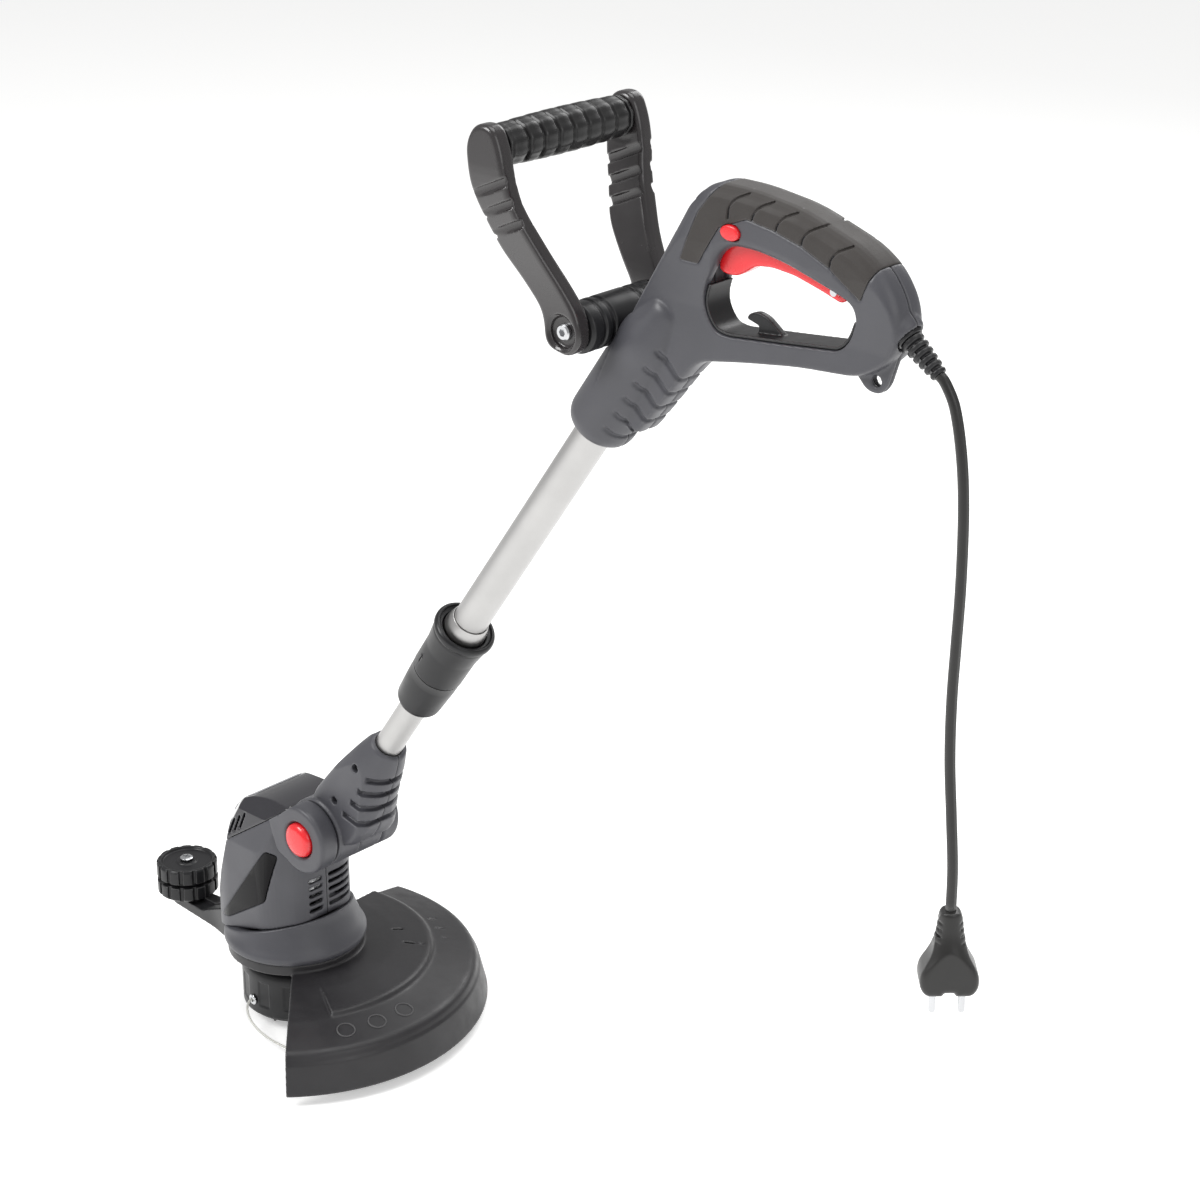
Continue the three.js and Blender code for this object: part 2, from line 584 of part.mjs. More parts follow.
function cuttingHead() {
  const group = new THREE.Group();
  const { radius, eyelet, line } = SPOOL;
  const hub = MOTOR.shaft + 4;
  group.add(node('motor_shaft', pin(MOTOR.shaft, 30, 166, 24), LOOK.steel()));
  group.add(node('spool_housing', spoolHousing(), LOOK.black()));
  group.add(node('line_spool', lathe([
    [hub + 2, 15.5], [38, 15.5], [38, 18], [22, 18], [22, 42], [38, 42], [38, 44.5], [hub + 2, 44.5],
  ]), LOOK.shell()));
  const winding = [[22.4, 18.4]];
  for (let turn = 0; turn < 5; turn += 1) winding.push([33, 18.4 + 4.6 * turn], [34, 20.7 + 4.6 * turn]);
  winding.push([33, 41.5], [22.4, 41.5]);
  group.add(node('line_winding', lathe(winding, 18), LOOK.line()));
  EYELET_ANGLES.forEach((turn, i) => {
    const side = new THREE.Group();
    side.rotation.z = THREE.MathUtils.degToRad(turn);
    const ferrule = node(`eyelet_${i + 1}`, lathe([
      [line + 0.6, -2], [3, -2], [3, 1.2], [4.4, 1.2], [4.4, 2.2], [2.4, 3], [line + 0.6, 2.6],
    ], 14), LOOK.steel());
    ferrule.position.set(radius - 0.6, 0, eyelet);
    ferrule.rotation.y = Math.PI / 2;
    group.add(side.add(ferrule, node(`cutting_line_${i + 1}`, headLine(), LOOK.line())));
  });
  group.add(node('feed_spring', spring(6.6, 0.8, 14, 4).translate(0, 0, 14.4), LOOK.steel()));
  group.add(node('bump_knob', lathe([
    [0, 0], [11, 0], [16, 1.5], [20, 4.5], [40, 6], [42, 8], [41.6, 9.6], [9.2, 9.6], [9.2, 13], [0, 13],
  ]), LOOK.black()));
  return group;
}

// ---------------------------------------------------------------- auxiliary handle
// side outline of one arm round the pivot, in X and Z
const ARM_SIDE = [
  [16, -6], [14, 12], [-8, 46], [-25, 80], [-31, 116], [-38, 132], [-54, 132],
  [-63, 118], [-60, 88], [-46, 48], [-17, 10], [-15, -12], [6, -16],
];

function auxArm(side) {
  const inner = AUX.barrelHalf + GAP;
  const shaped = slab(rounded(ARM_SIDE, 9), inner, inner + AUX.armThick, 3, 2);
  const place = shaped.attributes.position;
  for (let i = 0; i < place.count; i += 1) {
    const lean = THREE.MathUtils.smoothstep(place.getZ(i), 8, AUX_GRIP.z - 10);
    place.setY(i, place.getY(i) + AUX_SPREAD * lean);
  }
  const arm = solid(shaped)
    .subtract(solid(crossPin(4.3, 0, 0, 0, 100, 24)))
    .subtract(solid(crossPin(10.6, 0, 0, inner + AUX.armThick - 5, 100, 28)))
    .subtract(solid(crossPin(AUX_GRIP.core + GAP, AUX_GRIP.x, AUX_GRIP.z, 0, AUX_GRIP.half + 7)))
    .subtract(solid(crossPin(AUX_GRIP.radius + 2, AUX_GRIP.x, AUX_GRIP.z, 0, AUX_GRIP.half + GAP)));
  return side < 0 ? arm.mirror([0, 1, 0]) : arm;
}

function auxAssembly() {
  const group = new THREE.Group();
  group.position.set(AUX.x, 0, AUX.z);
  group.add(node('aux_arm_left', auxArm(-1), LOOK.arm()), node('aux_arm_right', auxArm(1), LOOK.arm()));
  const { half, radius, core, x, z } = AUX_GRIP;
  const rings = 8;
  const pitch = (2 * half - 4) / rings;
  const profile = [[core + GAP, -half + 0.6]];
  for (let i = 0; i < rings; i += 1) {
    const start = -half + 2 + i * pitch;
    const swell = radius - 1.6 * ((2 * (i + 0.5)) / rings - 1) ** 2;
    profile.push([swell - 1.8, start], [swell, start + 2], [swell, start + pitch - 2.5]);
  }
  profile.push([core + GAP, half - 0.6]);
  const grip = node('aux_grip', lathe(profile, 16), LOOK.rubber());
  const bar = node('aux_crossbar', pin(core, -half - 6, half + 6, 24), LOOK.black());
  [grip, bar].forEach((piece) => {
    piece.rotation.x = Math.PI / 2;
    piece.position.set(x, 0, z);
  });
  group.add(grip, bar);
  const reach = AUX.barrelHalf + GAP + AUX.armThick - 5;
  group.add(node('aux_bolt', lathe([
    [0, -reach - 3.4], [5.6, -reach - 3.4], [5.6, -reach - GAP], [4, -reach - GAP], [4, reach + 3.6],
    [0, reach + 3.6],
  ]).rotateX(-Math.PI / 2), LOOK.steel()));
  const nut = ring(4.9, 7.4, reach + GAP, reach + 3.4, 6).rotateX(-Math.PI / 2);
  group.add(node('aux_nut', nut, LOOK.steel()));
  return group;
}

// ---------------------------------------------------------------- rear housing
// side outline of the housing, in X and Z
const HOUSING_SIDE = [
  [377, 586], [404, 618], [420, 638], [434, 653], [470, 660], [514, 667], [562, 671],
  [583, 684], [593, 702], [590, 722], [578, 740], [560, 752], [514, 767], [474, 772],
  [444, 772], [428, 760], [416, 740], [352, 634],
];
// the housing from behind, in Y and Z: the grip is wider than the bar under it
const HOUSING_REAR = [
  [-12, 500], [-12, 690], [-17.5, 738], [-17.5, 800], [17.5, 800], [17.5, 738], [12, 690], [12, 500],
];
const LOOP = [
  [447, 716], [441, 706], [438.5, 695], [441, 686], [448, 677], [458, 675.5], [500, 680], [547, 685.5],
  [555, 694], [560, 708], [557, 715], [549, 718], [528, 723.5], [506, 729], [484, 732.5], [463, 733],
  [453, 727],
];
// the rubber saddle covers the grip above this line
const SADDLE = [
  [380, 800], [421, 719], [436, 719], [454, 746], [476, 755], [497, 752], [520, 746], [541, 737],
  [564, 721], [574, 742], [615, 800],
];
// lug under the rear corner, with a hole to hang the tool by
const LUG = [[551, 674], [562, 661.5], [573, 661.5], [578, 668], [585, 690], [566, 690]];
const LUG_HOLE = { x: 569.5, z: 669.5, radius: 3.4 };
// lighter strip let into the front edge
const STRIP = { from: [357, 642.3], to: [412, 733.4], half: 8, depth: 1.8, proud: 0.8 };
const HOOK = [
  [497, 681], [475, 678.6], [477, 684], [466, 687], [468, 690.5], [475, 693], [483, 691], [490, 686],
];
const TRIGGER_SIDE = [
  [446, 716], [450, 713.5], [460, 713.5], [468, 718.5], [475, 725], [488, 727], [506, 725.5],
  [528, 719.5], [543, 714.5], [548, 717], [548, 724], [538, 728], [506, 732], [484, 735.5],
  [465, 738.5], [453, 737.5], [446, 731],
];

function housingBody(shrink, clearance = 0, edge = HOUSING.edge) {
  const { halfWidth, sleeve, sleeveFrom, sleeveTo } = HOUSING;
  const half = halfWidth - shrink;
  const body = solid(slab(rounded(inset(HOUSING_SIDE, shrink), 9), -half, half, edge))
    .intersect(endOn(inset(HOUSING_REAR, shrink)));
  const loop = solid(slab(rounded(inset(LOOP, -shrink - clearance), 6), -60, 60));
  const start = sleeveFrom + shrink;
  const end = sleeveTo + 34 - shrink;
  const socket = solid(lathe([
    [0, start], [sleeve - 7 - shrink, start], [sleeve - 2 - shrink, start + 3],
    [sleeve - shrink, start + 8], [sleeve - shrink, sleeveTo], [sleeve - 9 - shrink, end],
    [0, end],
  ]), shaftMatrix);
  return body.add(socket).subtract(loop);
}

const lugBody = () => solid(slab(rounded(LUG, 5), -3.2, 3.2, 1));

// zone along the front edge, from above the edge to below it
function stripZone(above, below, half, reach = 0) {
  const from = new THREE.Vector2(...STRIP.from);
  const to = new THREE.Vector2(...STRIP.to);
  const along = to.clone().sub(from).normalize();
  const inward = new THREE.Vector2(along.y, -along.x);
  const corner = (point, depth, shift) => point.clone().addScaledVector(inward, depth)
    .addScaledVector(along, shift).toArray();
  return solid(slab(polygon([
    corner(from, -above, -reach), corner(to, -above, reach),
    corner(to, below, reach), corner(from, below, -reach),
  ]), -half, half));
}

function lockOff(grow, y0, y1) {
  const { x, z, length, height } = LOCK_OFF;
  const shape = new THREE.Shape();
  shape.absellipse(x, z, length / 2 + grow, height / 2 + grow, 0, 2 * Math.PI, false);
  return slab(shape, y0, y1, 0, 12);
}

const exitMatrix = new THREE.Matrix4()
  .makeRotationY(Math.PI / 2 - EXIT.angle)
  .setPosition(EXIT.x, 0, EXIT.z);

function housingSolid() {
  const saddleZone = through(inset(SADDLE, -GAP), 60);
  const core = housingBody(GRIP_SKIN, GAP);
  const outer = housingBody(0, GAP);
  const bare = outer.subtract(saddleZone.subtract(core)).add(lugBody());
  const { sleeveFrom } = HOUSING;
  const solidSleeve = solid(lathe([
    [0, 400], [40, 400], [40, sleeveFrom + 30], [0, sleeveFrom + 30],
  ]), shaftMatrix);
  const cavity = housingBody(WALL + GRIP_SKIN, GAP, 0).subtract(solidSleeve);
  const slot = TRIGGER.halfWidth + 0.7;
  const cuts = join(
    cavity,
    solid(pin(UPPER_TUBE.radius + GAP, 300, UPPER_TUBE.to + 2, 32), shaftMatrix),
    solid(pin(5.6, -60, 12), exitMatrix),
    solid(pin(9.4, 0.8, 30, 24), exitMatrix),
    solid(crossPin(2.8, TRIGGER.pivotX, TRIGGER.pivotZ, -12.1, 12.1)),
    solid(crossPin(LUG_HOLE.radius, LUG_HOLE.x, LUG_HOLE.z, -60, 60, 24)),
    solid(crossPin(AUX.barrel + GAP, AUX.x, AUX.z, -60, 60, 28)),
    box(438, 550, -slot, slot, 704, 742),
    stripZone(6, STRIP.depth + GAP, STRIP.half + GAP, GAP),
    solid(lockOff(GAP, -60, 0)),
  );
  return bare.subtract(cuts);
}

function housingAssembly() {
  const group = new THREE.Group();
  const shell = housingSolid();
  group.add(node('housing_left', shell.intersect(LEFT), LOOK.shell()));
  group.add(node('housing_right', shell.intersect(RIGHT), LOOK.shell()));

  const barrelCut = solid(crossPin(AUX.barrel + GAP, AUX.x, AUX.z, -60, 60, 28));
  const saddle = housingBody(0, GAP).intersect(through(SADDLE, 60))
    .subtract(housingBody(GRIP_SKIN - GAP, GAP))
    .subtract(solid(lockOff(GAP, -60, 0)));
  group.add(node('soft_grip', saddle, LOOK.rubber()));
  const strip = stripZone(STRIP.proud, STRIP.depth, STRIP.half).subtract(barrelCut);
  group.add(node('edge_strip', strip, LOOK.trim()));

  const loopRing = solid(slab(rounded(LOOP, 6), -LINER.halfWidth, LINER.halfWidth))
    .subtract(solid(slab(rounded(inset(LOOP, LINER.thick), 5), -60, 60)))
    .subtract(box(400, 600, -60, 60, 706, 800));
  const hook = solid(slab(rounded(HOOK, 2), -2.5, 2.5));
  group.add(node('loop_liner', loopRing.add(hook), LOOK.black()));

  const barrel = [[4.4, -AUX.barrelHalf], [AUX.barrel - 1, -AUX.barrelHalf]];
  [-18, 18].forEach((place) => barrel.push([AUX.barrel, place - 3], [AUX.barrel - 0.8, place - 0.7],
    [AUX.barrel - 0.8, place + 0.7], [AUX.barrel, place + 3]));
  barrel.push([AUX.barrel - 1, AUX.barrelHalf], [4.4, AUX.barrelHalf]);
  const pivot = node('aux_barrel', lathe(barrel), LOOK.black());
  pivot.position.set(AUX.x, 0, AUX.z);
  pivot.rotation.x = Math.PI / 2;
  group.add(pivot);

  const { x, z, long, wide, high } = SWITCH_BOX;
  group.add(node('switch_box', new THREE.BoxGeometry(long, wide, high).translate(x, 0, z), LOOK.black()));
  return group;
}

function controls() {
  const group = new THREE.Group();
  const { halfWidth, pivotX, pivotZ } = TRIGGER;
  const blade = solid(slab(rounded(TRIGGER_SIDE, 3), -halfWidth, halfWidth, 1.5));
  group.add(node('trigger', blade.subtract(solid(crossPin(2.8, pivotX, pivotZ, -20, 20, 20))), LOOK.red()));
  group.add(node('trigger_pin', crossPin(2.5, pivotX, pivotZ, -11.8, 11.8, 20), LOOK.steel()));
  const face = HOUSING.halfWidth + LOCK_OFF.proud;
  group.add(node('lock_off_button', lockOff(0, -face, -10.5), LOOK.red()));
  return group;
}

// ---------------------------------------------------------------- mains lead
function leadAssembly() {
  const group = new THREE.Group();
  const exit = new THREE.Group();
  exit.applyMatrix4(exitMatrix);
  const { radius, sides, steps } = CORD;
  exit.add(node('cable_gland', lathe([
    [radius + 0.4, -6], [5.3, -6], [5.3, 1.2], [9, 1.2], [9, 2.8], [7.6, 4], [radius + 0.4, 4],
  ], 20), LOOK.black()));
  const relief = [[0, 4 + GAP], [7.4, 4 + GAP], [7.4, 7.5], [5.6, 8.5], [5.6, 9.5]];
  for (let i = 0; i < 4; i += 1) {
    const rib = 7.3 - 0.45 * i;
    const start = 10 + 4.8 * i;
    relief.push([rib, start], [rib, start + 2.4], [rib - 1.7, start + 3], [rib - 1.7, start + 4.2]);
  }
  relief.push([5.4, EXIT.relief - 2.4], [5.4, EXIT.relief - 1], [4.4, EXIT.relief], [0, EXIT.relief]);
  exit.add(node('bend_relief', lathe(relief, 12), LOOK.black()));
  group.add(exit);

  const route = CORD_ROUTE.map(([x, z]) => new THREE.Vector3(x, 0, z));
  const path = new THREE.CatmullRomCurve3(route, false, 'centripetal');
  group.add(node('mains_cord', tube(path, radius, sides, steps), LOOK.lead()));

  const plug = new THREE.Group();
  const end = route[route.length - 1];
  const upward = path.getTangent(1).negate();
  const across = new THREE.Vector3(Math.cos(PLUG.turn), Math.sin(PLUG.turn), 0);
  across.addScaledVector(upward, -across.dot(upward)).normalize();
  const depth = upward.clone().cross(across);
  plug.applyMatrix4(new THREE.Matrix4().makeBasis(across, depth, upward)
    .setPosition(end.clone().addScaledVector(upward, -PLUG.length - GAP)));
  const { length, width, thick } = PLUG;
  const half = width / 2;
  const outline = [
    [-half + 5, 0], [half - 5, 0], [half, 7], [half, 17], [9, length - 9], [6.5, length],
    [-6.5, length], [-9, length - 9], [-half, 17], [-half, 7],
  ];
  plug.add(node('plug_body', slab(rounded(outline, 5), -thick / 2, thick / 2, 3), LOOK.lead()));
  [-1, 1].forEach((side, i) => {
    const contact = node(`plug_pin_${i + 1}`, lathe([
      [0, -PLUG.pinLength], [PLUG.pin - 1, -PLUG.pinLength], [PLUG.pin, -PLUG.pinLength + 1.5],
      [PLUG.pin, -GAP], [0, -GAP],
    ], 16), LOOK.steel());
    contact.position.x = (side * PLUG.pinGap) / 2;
    plug.add(contact);
  });
  return group.add(plug);
}

const trimmer = new THREE.Group();
trimmer.add(shaftAssembly(), neckAssembly(), headAssembly(), tiltButton(), wheelAssembly());
trimmer.add(guardAssembly(), cuttingHead(), auxAssembly(), housingAssembly(), controls(), leadAssembly());
trimmer.position.set(-GRIP_CENTRE.x, 0, -GRIP_CENTRE.z);

export default trimmer;
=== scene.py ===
"""Garden string trimmer: fine pieces, finishes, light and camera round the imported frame.

Pieces are laid out in millimetres from the cutting axis and the ground under the bump
knob, with +X back to the operator and +Z up, and are put into the frame in metres.
"""

import logging
import math
from dataclasses import dataclass, field
from enum import Enum
from typing import Iterable, Optional, Sequence

import bmesh
import bpy
from mathutils import Matrix, Vector


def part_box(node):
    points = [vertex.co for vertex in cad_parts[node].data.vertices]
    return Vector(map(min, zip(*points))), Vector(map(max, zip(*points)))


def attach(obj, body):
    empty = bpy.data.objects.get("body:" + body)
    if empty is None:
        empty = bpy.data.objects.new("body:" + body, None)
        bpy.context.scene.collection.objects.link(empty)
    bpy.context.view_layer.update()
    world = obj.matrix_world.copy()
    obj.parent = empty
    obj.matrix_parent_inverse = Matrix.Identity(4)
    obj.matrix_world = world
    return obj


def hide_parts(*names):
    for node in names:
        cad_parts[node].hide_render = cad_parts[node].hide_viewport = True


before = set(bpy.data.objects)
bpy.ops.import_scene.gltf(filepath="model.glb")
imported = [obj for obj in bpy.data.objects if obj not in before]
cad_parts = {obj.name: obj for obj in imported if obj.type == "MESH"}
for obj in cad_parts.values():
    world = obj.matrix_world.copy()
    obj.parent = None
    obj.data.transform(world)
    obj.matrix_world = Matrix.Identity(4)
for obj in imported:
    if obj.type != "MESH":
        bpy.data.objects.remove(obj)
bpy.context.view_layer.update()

LOG = logging.getLogger("trimmer")

MM = 0.001
GAP = 0.3
EDGE_STEPS = 5
MOUTH_REACH = 40.0
IDENTITY = Matrix.Identity(4)
LEFTWARD = Matrix.Rotation(math.pi / 2, 4, "X")
OUTWARD = Matrix.Rotation(math.pi / 2, 4, "Y")

Point = tuple[float, float]
Outline = list[Point]


def layout_origin() -> Vector:
    """Find where the layout's origin lies in the frame, in metres.

    Returns:
        The point under the cutting axis at the height of the bump knob's underside.
    """
    low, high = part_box("bump_knob")
    return Vector(((low[0] + high[0]) / 2, 0.0, low[2]))


ORIGIN = layout_origin()


def placed(x: float, y: float, z: float) -> Vector:
    """Turn a layout point in millimetres into a frame point in metres."""
    return ORIGIN + Vector((x, y, z)) * MM


def spun(degrees: float) -> Matrix:
    """Give a turn about Z."""
    return Matrix.Rotation(math.radians(degrees), 4, "Z")


# ------------------------------------------------------------------ outlines
def inset(points: Outline, distance: float) -> Outline:
    """Move every edge of a closed outline inwards.

    Args:
        points: The corners in order.
        distance: How far the edges move, negative to grow the outline.

    Returns:
        The moved corners.
    """
    count = len(points)
    area = sum(points[i][0] * points[(i + 1) % count][1] - points[(i + 1) % count][0] * points[i][1]
               for i in range(count))
    side = distance if area > 0 else -distance
    moved = []
    for i, point in enumerate(points):
        here = Vector(point)
        into = (here - Vector(points[i - 1])).normalized()
        out = (Vector(points[(i + 1) % count]) - here).normalized()
        normal = Vector((-into.y - out.y, into.x + out.x)).normalized()
        reach = side / max(0.4, normal.dot(Vector((-into.y, into.x))))
        moved.append(tuple(here + normal * reach))
    return moved


def rounded(points: Outline, radius: float, steps: int = 6, closed: bool = True) -> Outline:
    """Round the corners of an outline as far as its edges allow.

    Args:
        points: The corners in order.
        radius: The wanted length of each rounding along an edge.
        steps: Points per corner.
        closed: Whether the last corner joins the first; the ends of an open one stay.

    Returns:
        The finer outline.
    """
    count = len(points)
    finer = []
    for i, point in enumerate(points):
        if not closed and i in (0, count - 1):
            finer.append(point)
            continue
        here = Vector(point)
        before = Vector(points[i - 1]) - here
        after = Vector(points[(i + 1) % count]) - here
        cut = min(radius, before.length / 2.1, after.length / 2.1)
        start = here + before.normalized() * cut
        end = here + after.normalized() * cut
        for step in range(steps + 1):
            t = step / steps
            finer.append(tuple(start * (1 - t) ** 2 + here * (2 * t * (1 - t)) + end * t ** 2))
    return finer


def arc(centre: Point, radius: float, start: float, end: float, steps: int = 24) -> Outline:
    """Give points on an arc between two angles in degrees."""
    angles = (math.radians(start + (end - start) * i / steps) for i in range(steps + 1))
    return [(centre[0] + radius * math.cos(a), centre[1] + radius * math.sin(a)) for a in angles]


def flowing(points: Sequence[Vector], per_span: int = 8) -> list[Vector]:
    """Draw a smooth line through points, turning evenly between them.

    Args:
        points: The points that the line passes through.
        per_span: Steps between two of them.

    Returns:
        The finer line.
    """
    run = [points[0] * 2 - points[1], *points, points[-1] * 2 - points[-2]]
    line = []
    for a, b, c, d in zip(run, run[1:], run[2:], run[3:]):
        t1 = (b - a).length ** 0.5
        t2 = t1 + (c - b).length ** 0.5
        t3 = t2 + (d - c).length ** 0.5
        for step in range(per_span):
            t = t1 + (t2 - t1) * step / per_span
            ab = a.lerp(b, t / t1)
            bc = b.lerp(c, (t - t1) / (t2 - t1))
            cd = c.lerp(d, (t - t2) / (t3 - t2))
            line.append(ab.lerp(bc, t / t2).lerp(bc.lerp(cd, (t - t1) / (t3 - t1)), (t - t1) / (t2 - t1)))
    return [*line, points[-1].copy()]


# ------------------------------------------------------------------ solids
class Axis(Enum):
    """The way an outline is pushed into a prism."""

    ACROSS = "Y"
    UP = "Z"


class Join(Enum):
    """How one solid works on another."""

    ADD = "UNION"
    CUT = "DIFFERENCE"
    KEEP = "INTERSECT"


@dataclass
class Solid:
    """A closed mesh being shaped, in millimetres of the layout."""

    obj: bpy.types.Object

    @classmethod
    def of(cls, verts: Sequence[Sequence[float]], faces: Sequence[Sequence[int]],
           place: Matrix = IDENTITY) -> "Solid":
        """Make a solid from its points and faces.

        Args:
            verts: The points.
            faces: The point numbers of each face.
            place: Where the points are put.

        Returns:
            The solid, its faces pointing out.
        """
        mesh = bpy.data.meshes.new("shape")
        mesh.from_pydata([place @ Vector(v) for v in verts], [], faces)
        bm = bmesh.new()
        bm.from_mesh(mesh)
        bmesh.ops.triangulate(bm, faces=[f for f in bm.faces if len(f.verts) > 4])
        bmesh.ops.recalc_face_normals(bm, faces=bm.faces)
        bm.to_mesh(mesh)
        bm.free()
        obj = bpy.data.objects.new("shape", mesh)
        bpy.context.scene.collection.objects.link(obj)
        return cls(obj)

    @classmethod
    def turned(cls, profile: Outline, steps: int = 72, place: Matrix = IDENTITY,
               wave: float = 0.0, waves: int = 0) -> "Solid":
        """Turn a profile about Z.

        Args:
            profile: Radius and height of each point; it starts and ends on the axis or closes.
            steps: Points round the turn.
            place: Where the turned shape is put.
            wave: Depth of flutes round the shape.
            waves: Number of flutes.

        Returns:
            The turned solid.
        """
        verts: list[tuple[float, float, float]] = []
        rings: list[list[int]] = []
        for radius, height in profile:
            if radius < 1e-6:
                rings.append([len(verts)] * steps)
                verts.append((0.0, 0.0, height))
                continue
            rings.append(list(range(len(verts), len(verts) + steps)))
            for i in range(steps):
                angle = 2 * math.pi * i / steps
                reach = radius - wave * (0.5 + 0.5 * math.cos(waves * angle))
                verts.append((reach * math.cos(angle), reach * math.sin(angle), height))
        faces = []
        spans = list(zip(rings, rings[1:]))
        if profile[0][0] > 1e-6:
            spans.append((rings[-1], rings[0]))
        for low, high in spans:
            for i in range(steps):
                j = (i + 1) % steps
                corners = list(dict.fromkeys((low[i], low[j], high[j], high[i])))
                if len(corners) > 2:
                    faces.append(corners)
        return cls.of(verts, faces, place)

    @classmethod
    def peg(cls, radius: float, low: float, high: float, steps: int = 64,
            place: Matrix = IDENTITY) -> "Solid":
        """Make a plain round peg about Z between two heights."""
        return cls.turned([(0, low), (radius, low), (radius, high), (0, high)], steps, place)

    @classmethod
    def swung(cls, profile: Outline, start: float, end: float, steps: int = 96) -> "Solid":
        """Turn a closed profile through part of a turn about Z.

        Args:
            profile: Radius and height of each point.
            start: First angle in degrees.
            end: Last angle in degrees.
            steps: Points along the turn.

        Returns:
            The solid with flat ends.
        """
        size = len(profile)
        verts = []
        for i in range(steps + 1):
            angle = math.radians(start + (end - start) * i / steps)
            verts += [(r * math.cos(angle), r * math.sin(angle), z) for r, z in profile]
        faces = [list(range(size)), list(range(steps * size, steps * size + size))[::-1]]
        for i in range(steps):
            for k in range(size):
                m = (k + 1) % size
                faces.append([i * size + k, i * size + m, (i + 1) * size + m, (i + 1) * size + k])
        return cls.of(verts, faces)

    @classmethod
    def prism(cls, outline: Outline, low: float, high: float, edge: float = 0.0,
              axis: Axis = Axis.ACROSS, place: Matrix = IDENTITY) -> "Solid":
        """Push an outline into a prism with rounded rims.

        Args:
            outline: The corners, in X and Z when pushed across, in X and Y when pushed up.
            low: Where the prism starts.
            high: Where it ends.
            edge: Radius of the rims.
            axis: The way it is pushed.
            place: Where the prism is put.

        Returns:
            The prism.
        """
        levels = [(0.0, low), (0.0, high)]
        if edge > 0:
            turn = [math.pi / 2 * i / EDGE_STEPS for i in range(EDGE_STEPS + 1)]
            rim = [(edge * (1 - math.sin(a)), edge * (1 - math.cos(a))) for a in turn]
            levels = [(depth, low + rise) for depth, rise in rim]
            levels += [(depth, high - rise) for depth, rise in reversed(rim)]
        return cls._stacked(outline, levels, axis, place)

    @classmethod
    def waisted(cls, outline: Outline, half: float, edge: float) -> "Solid":
        """Make a tool that cuts an opening across the tool and rounds its two mouths.

        Args:
            outline: The opening in X and Z.
            half: Half the width of the wall that it goes through.
            edge: Radius of the mouths.

        Returns:
            The tool, wider outside the mouths.
        """
        turn = [math.pi / 2 * i / EDGE_STEPS for i in range(EDGE_STEPS + 1)]
        mouth = [(edge * (math.cos(a) - 1), half - edge + edge * math.sin(a)) for a in turn]
        mouth.append((-edge, half + MOUTH_REACH))
        levels = [(depth, -y) for depth, y in reversed(mouth)] + mouth
        return cls._stacked(outline, levels, Axis.ACROSS, IDENTITY)

    @classmethod
    def _stacked(cls, outline: Outline, levels: list[tuple[float, float]], axis: Axis,
                 place: Matrix) -> "Solid":
        """Skin an outline over several levels.

        Args:
            outline: The corners.
            levels: How far the outline is inset, and where, at each level.
            axis: The way the levels follow each other.
            place: Where the solid is put.

        Returns:
            The solid.
        """
        verts, count = [], len(outline)
        for depth, level in levels:
            for u, v in inset(outline, depth) if depth else outline:
                verts.append((u, level, v) if axis is Axis.ACROSS else (u, v, level))
        faces = [list(range(count)), list(range(len(verts) - count, len(verts)))[::-1]]
        for ring in range(len(levels) - 1):
            for i in range(count):
                j = (i + 1) % count
                base, top = ring * count, (ring + 1) * count
                faces.append([base + i, base + j, top + j, top + i])
        return cls.of(verts, faces, place)

    @classmethod
    def block(cls, x: Point, y: Point, z: Point, place: Matrix = IDENTITY) -> "Solid":
        """Make a plain block between two values on each axis, to cut or keep with."""
        corners = [(x[0], z[0]), (x[1], z[0]), (x[1], z[1]), (x[0], z[1])]
        return cls.prism(corners, y[0], y[1], place=place)

    @classmethod
    def rod(cls, radius: float, x: float, z: float, y: Point, steps: int = 64) -> "Solid":
        """Make a round rod lying across the tool, centred on a point of its side view."""
        return cls.prism(arc((x, z), radius, 0, 360 - 360 / steps, steps - 1), *y)

    @classmethod
    def swept(cls, line: Sequence[Vector], section: Outline) -> "Solid":
        """Draw a closed section along a line without twisting it.

        Args:
            line: The points of the line.
            section: The section's points round the line.

        Returns:
            The swept solid with flat ends.
        """
        verts, count = [], len(section)
        side = Vector((0, 1, 0))
        for i, point in enumerate(line):
            ahead = (line[min(i + 1, len(line) - 1)] - line[max(i - 1, 0)]).normalized()
            side = (side - ahead * side.dot(ahead)).normalized()
            up = ahead.cross(side)
            verts += [point + side * u + up * v for u, v in section]
        faces = [list(range(count)), list(range(len(verts) - count, len(verts)))[::-1]]
        for i in range(len(line) - 1):
            for k in range(count):
                m = (k + 1) % count
                faces.append([i * count + k, i * count + m, (i + 1) * count + m, (i + 1) * count + k])
        return cls.of(verts, faces)

    def copy(self) -> "Solid":
        """Give a second solid of the same shape."""
        twin = self.obj.copy()
        twin.data = self.obj.data.copy()
        bpy.context.scene.collection.objects.link(twin)
        return Solid(twin)

    def moved(self, place: Matrix) -> "Solid":
        """Move the solid, turning it inside in again after a mirror."""
        self.obj.data.transform(place)
        if place.determinant() < 0:
            self.obj.data.flip_normals()
        return self

    def _apply(self) -> "Solid":
        """Turn the solid's modifiers into its mesh."""
        graph = bpy.context.evaluated_depsgraph_get()
        mesh = bpy.data.meshes.new_from_object(self.obj.evaluated_get(graph))
        self.obj.modifiers.clear()
        self.obj.data = mesh
        return self

    def worked(self, how: Join, tools: Iterable["Solid"]) -> "Solid":
        """Join, cut or keep the solid with others, which are used up.

        Args:
            how: What the others do.
            tools: The other solids.

        Returns:
            This solid.
        """
        for tool in tools:
            work = self.obj.modifiers.new("work", "BOOLEAN")
            work.operation = how.value
            work.solver = "MANIFOLD"
            work.object = tool.obj
            self._apply()
            bpy.data.objects.remove(tool.obj)
        return self

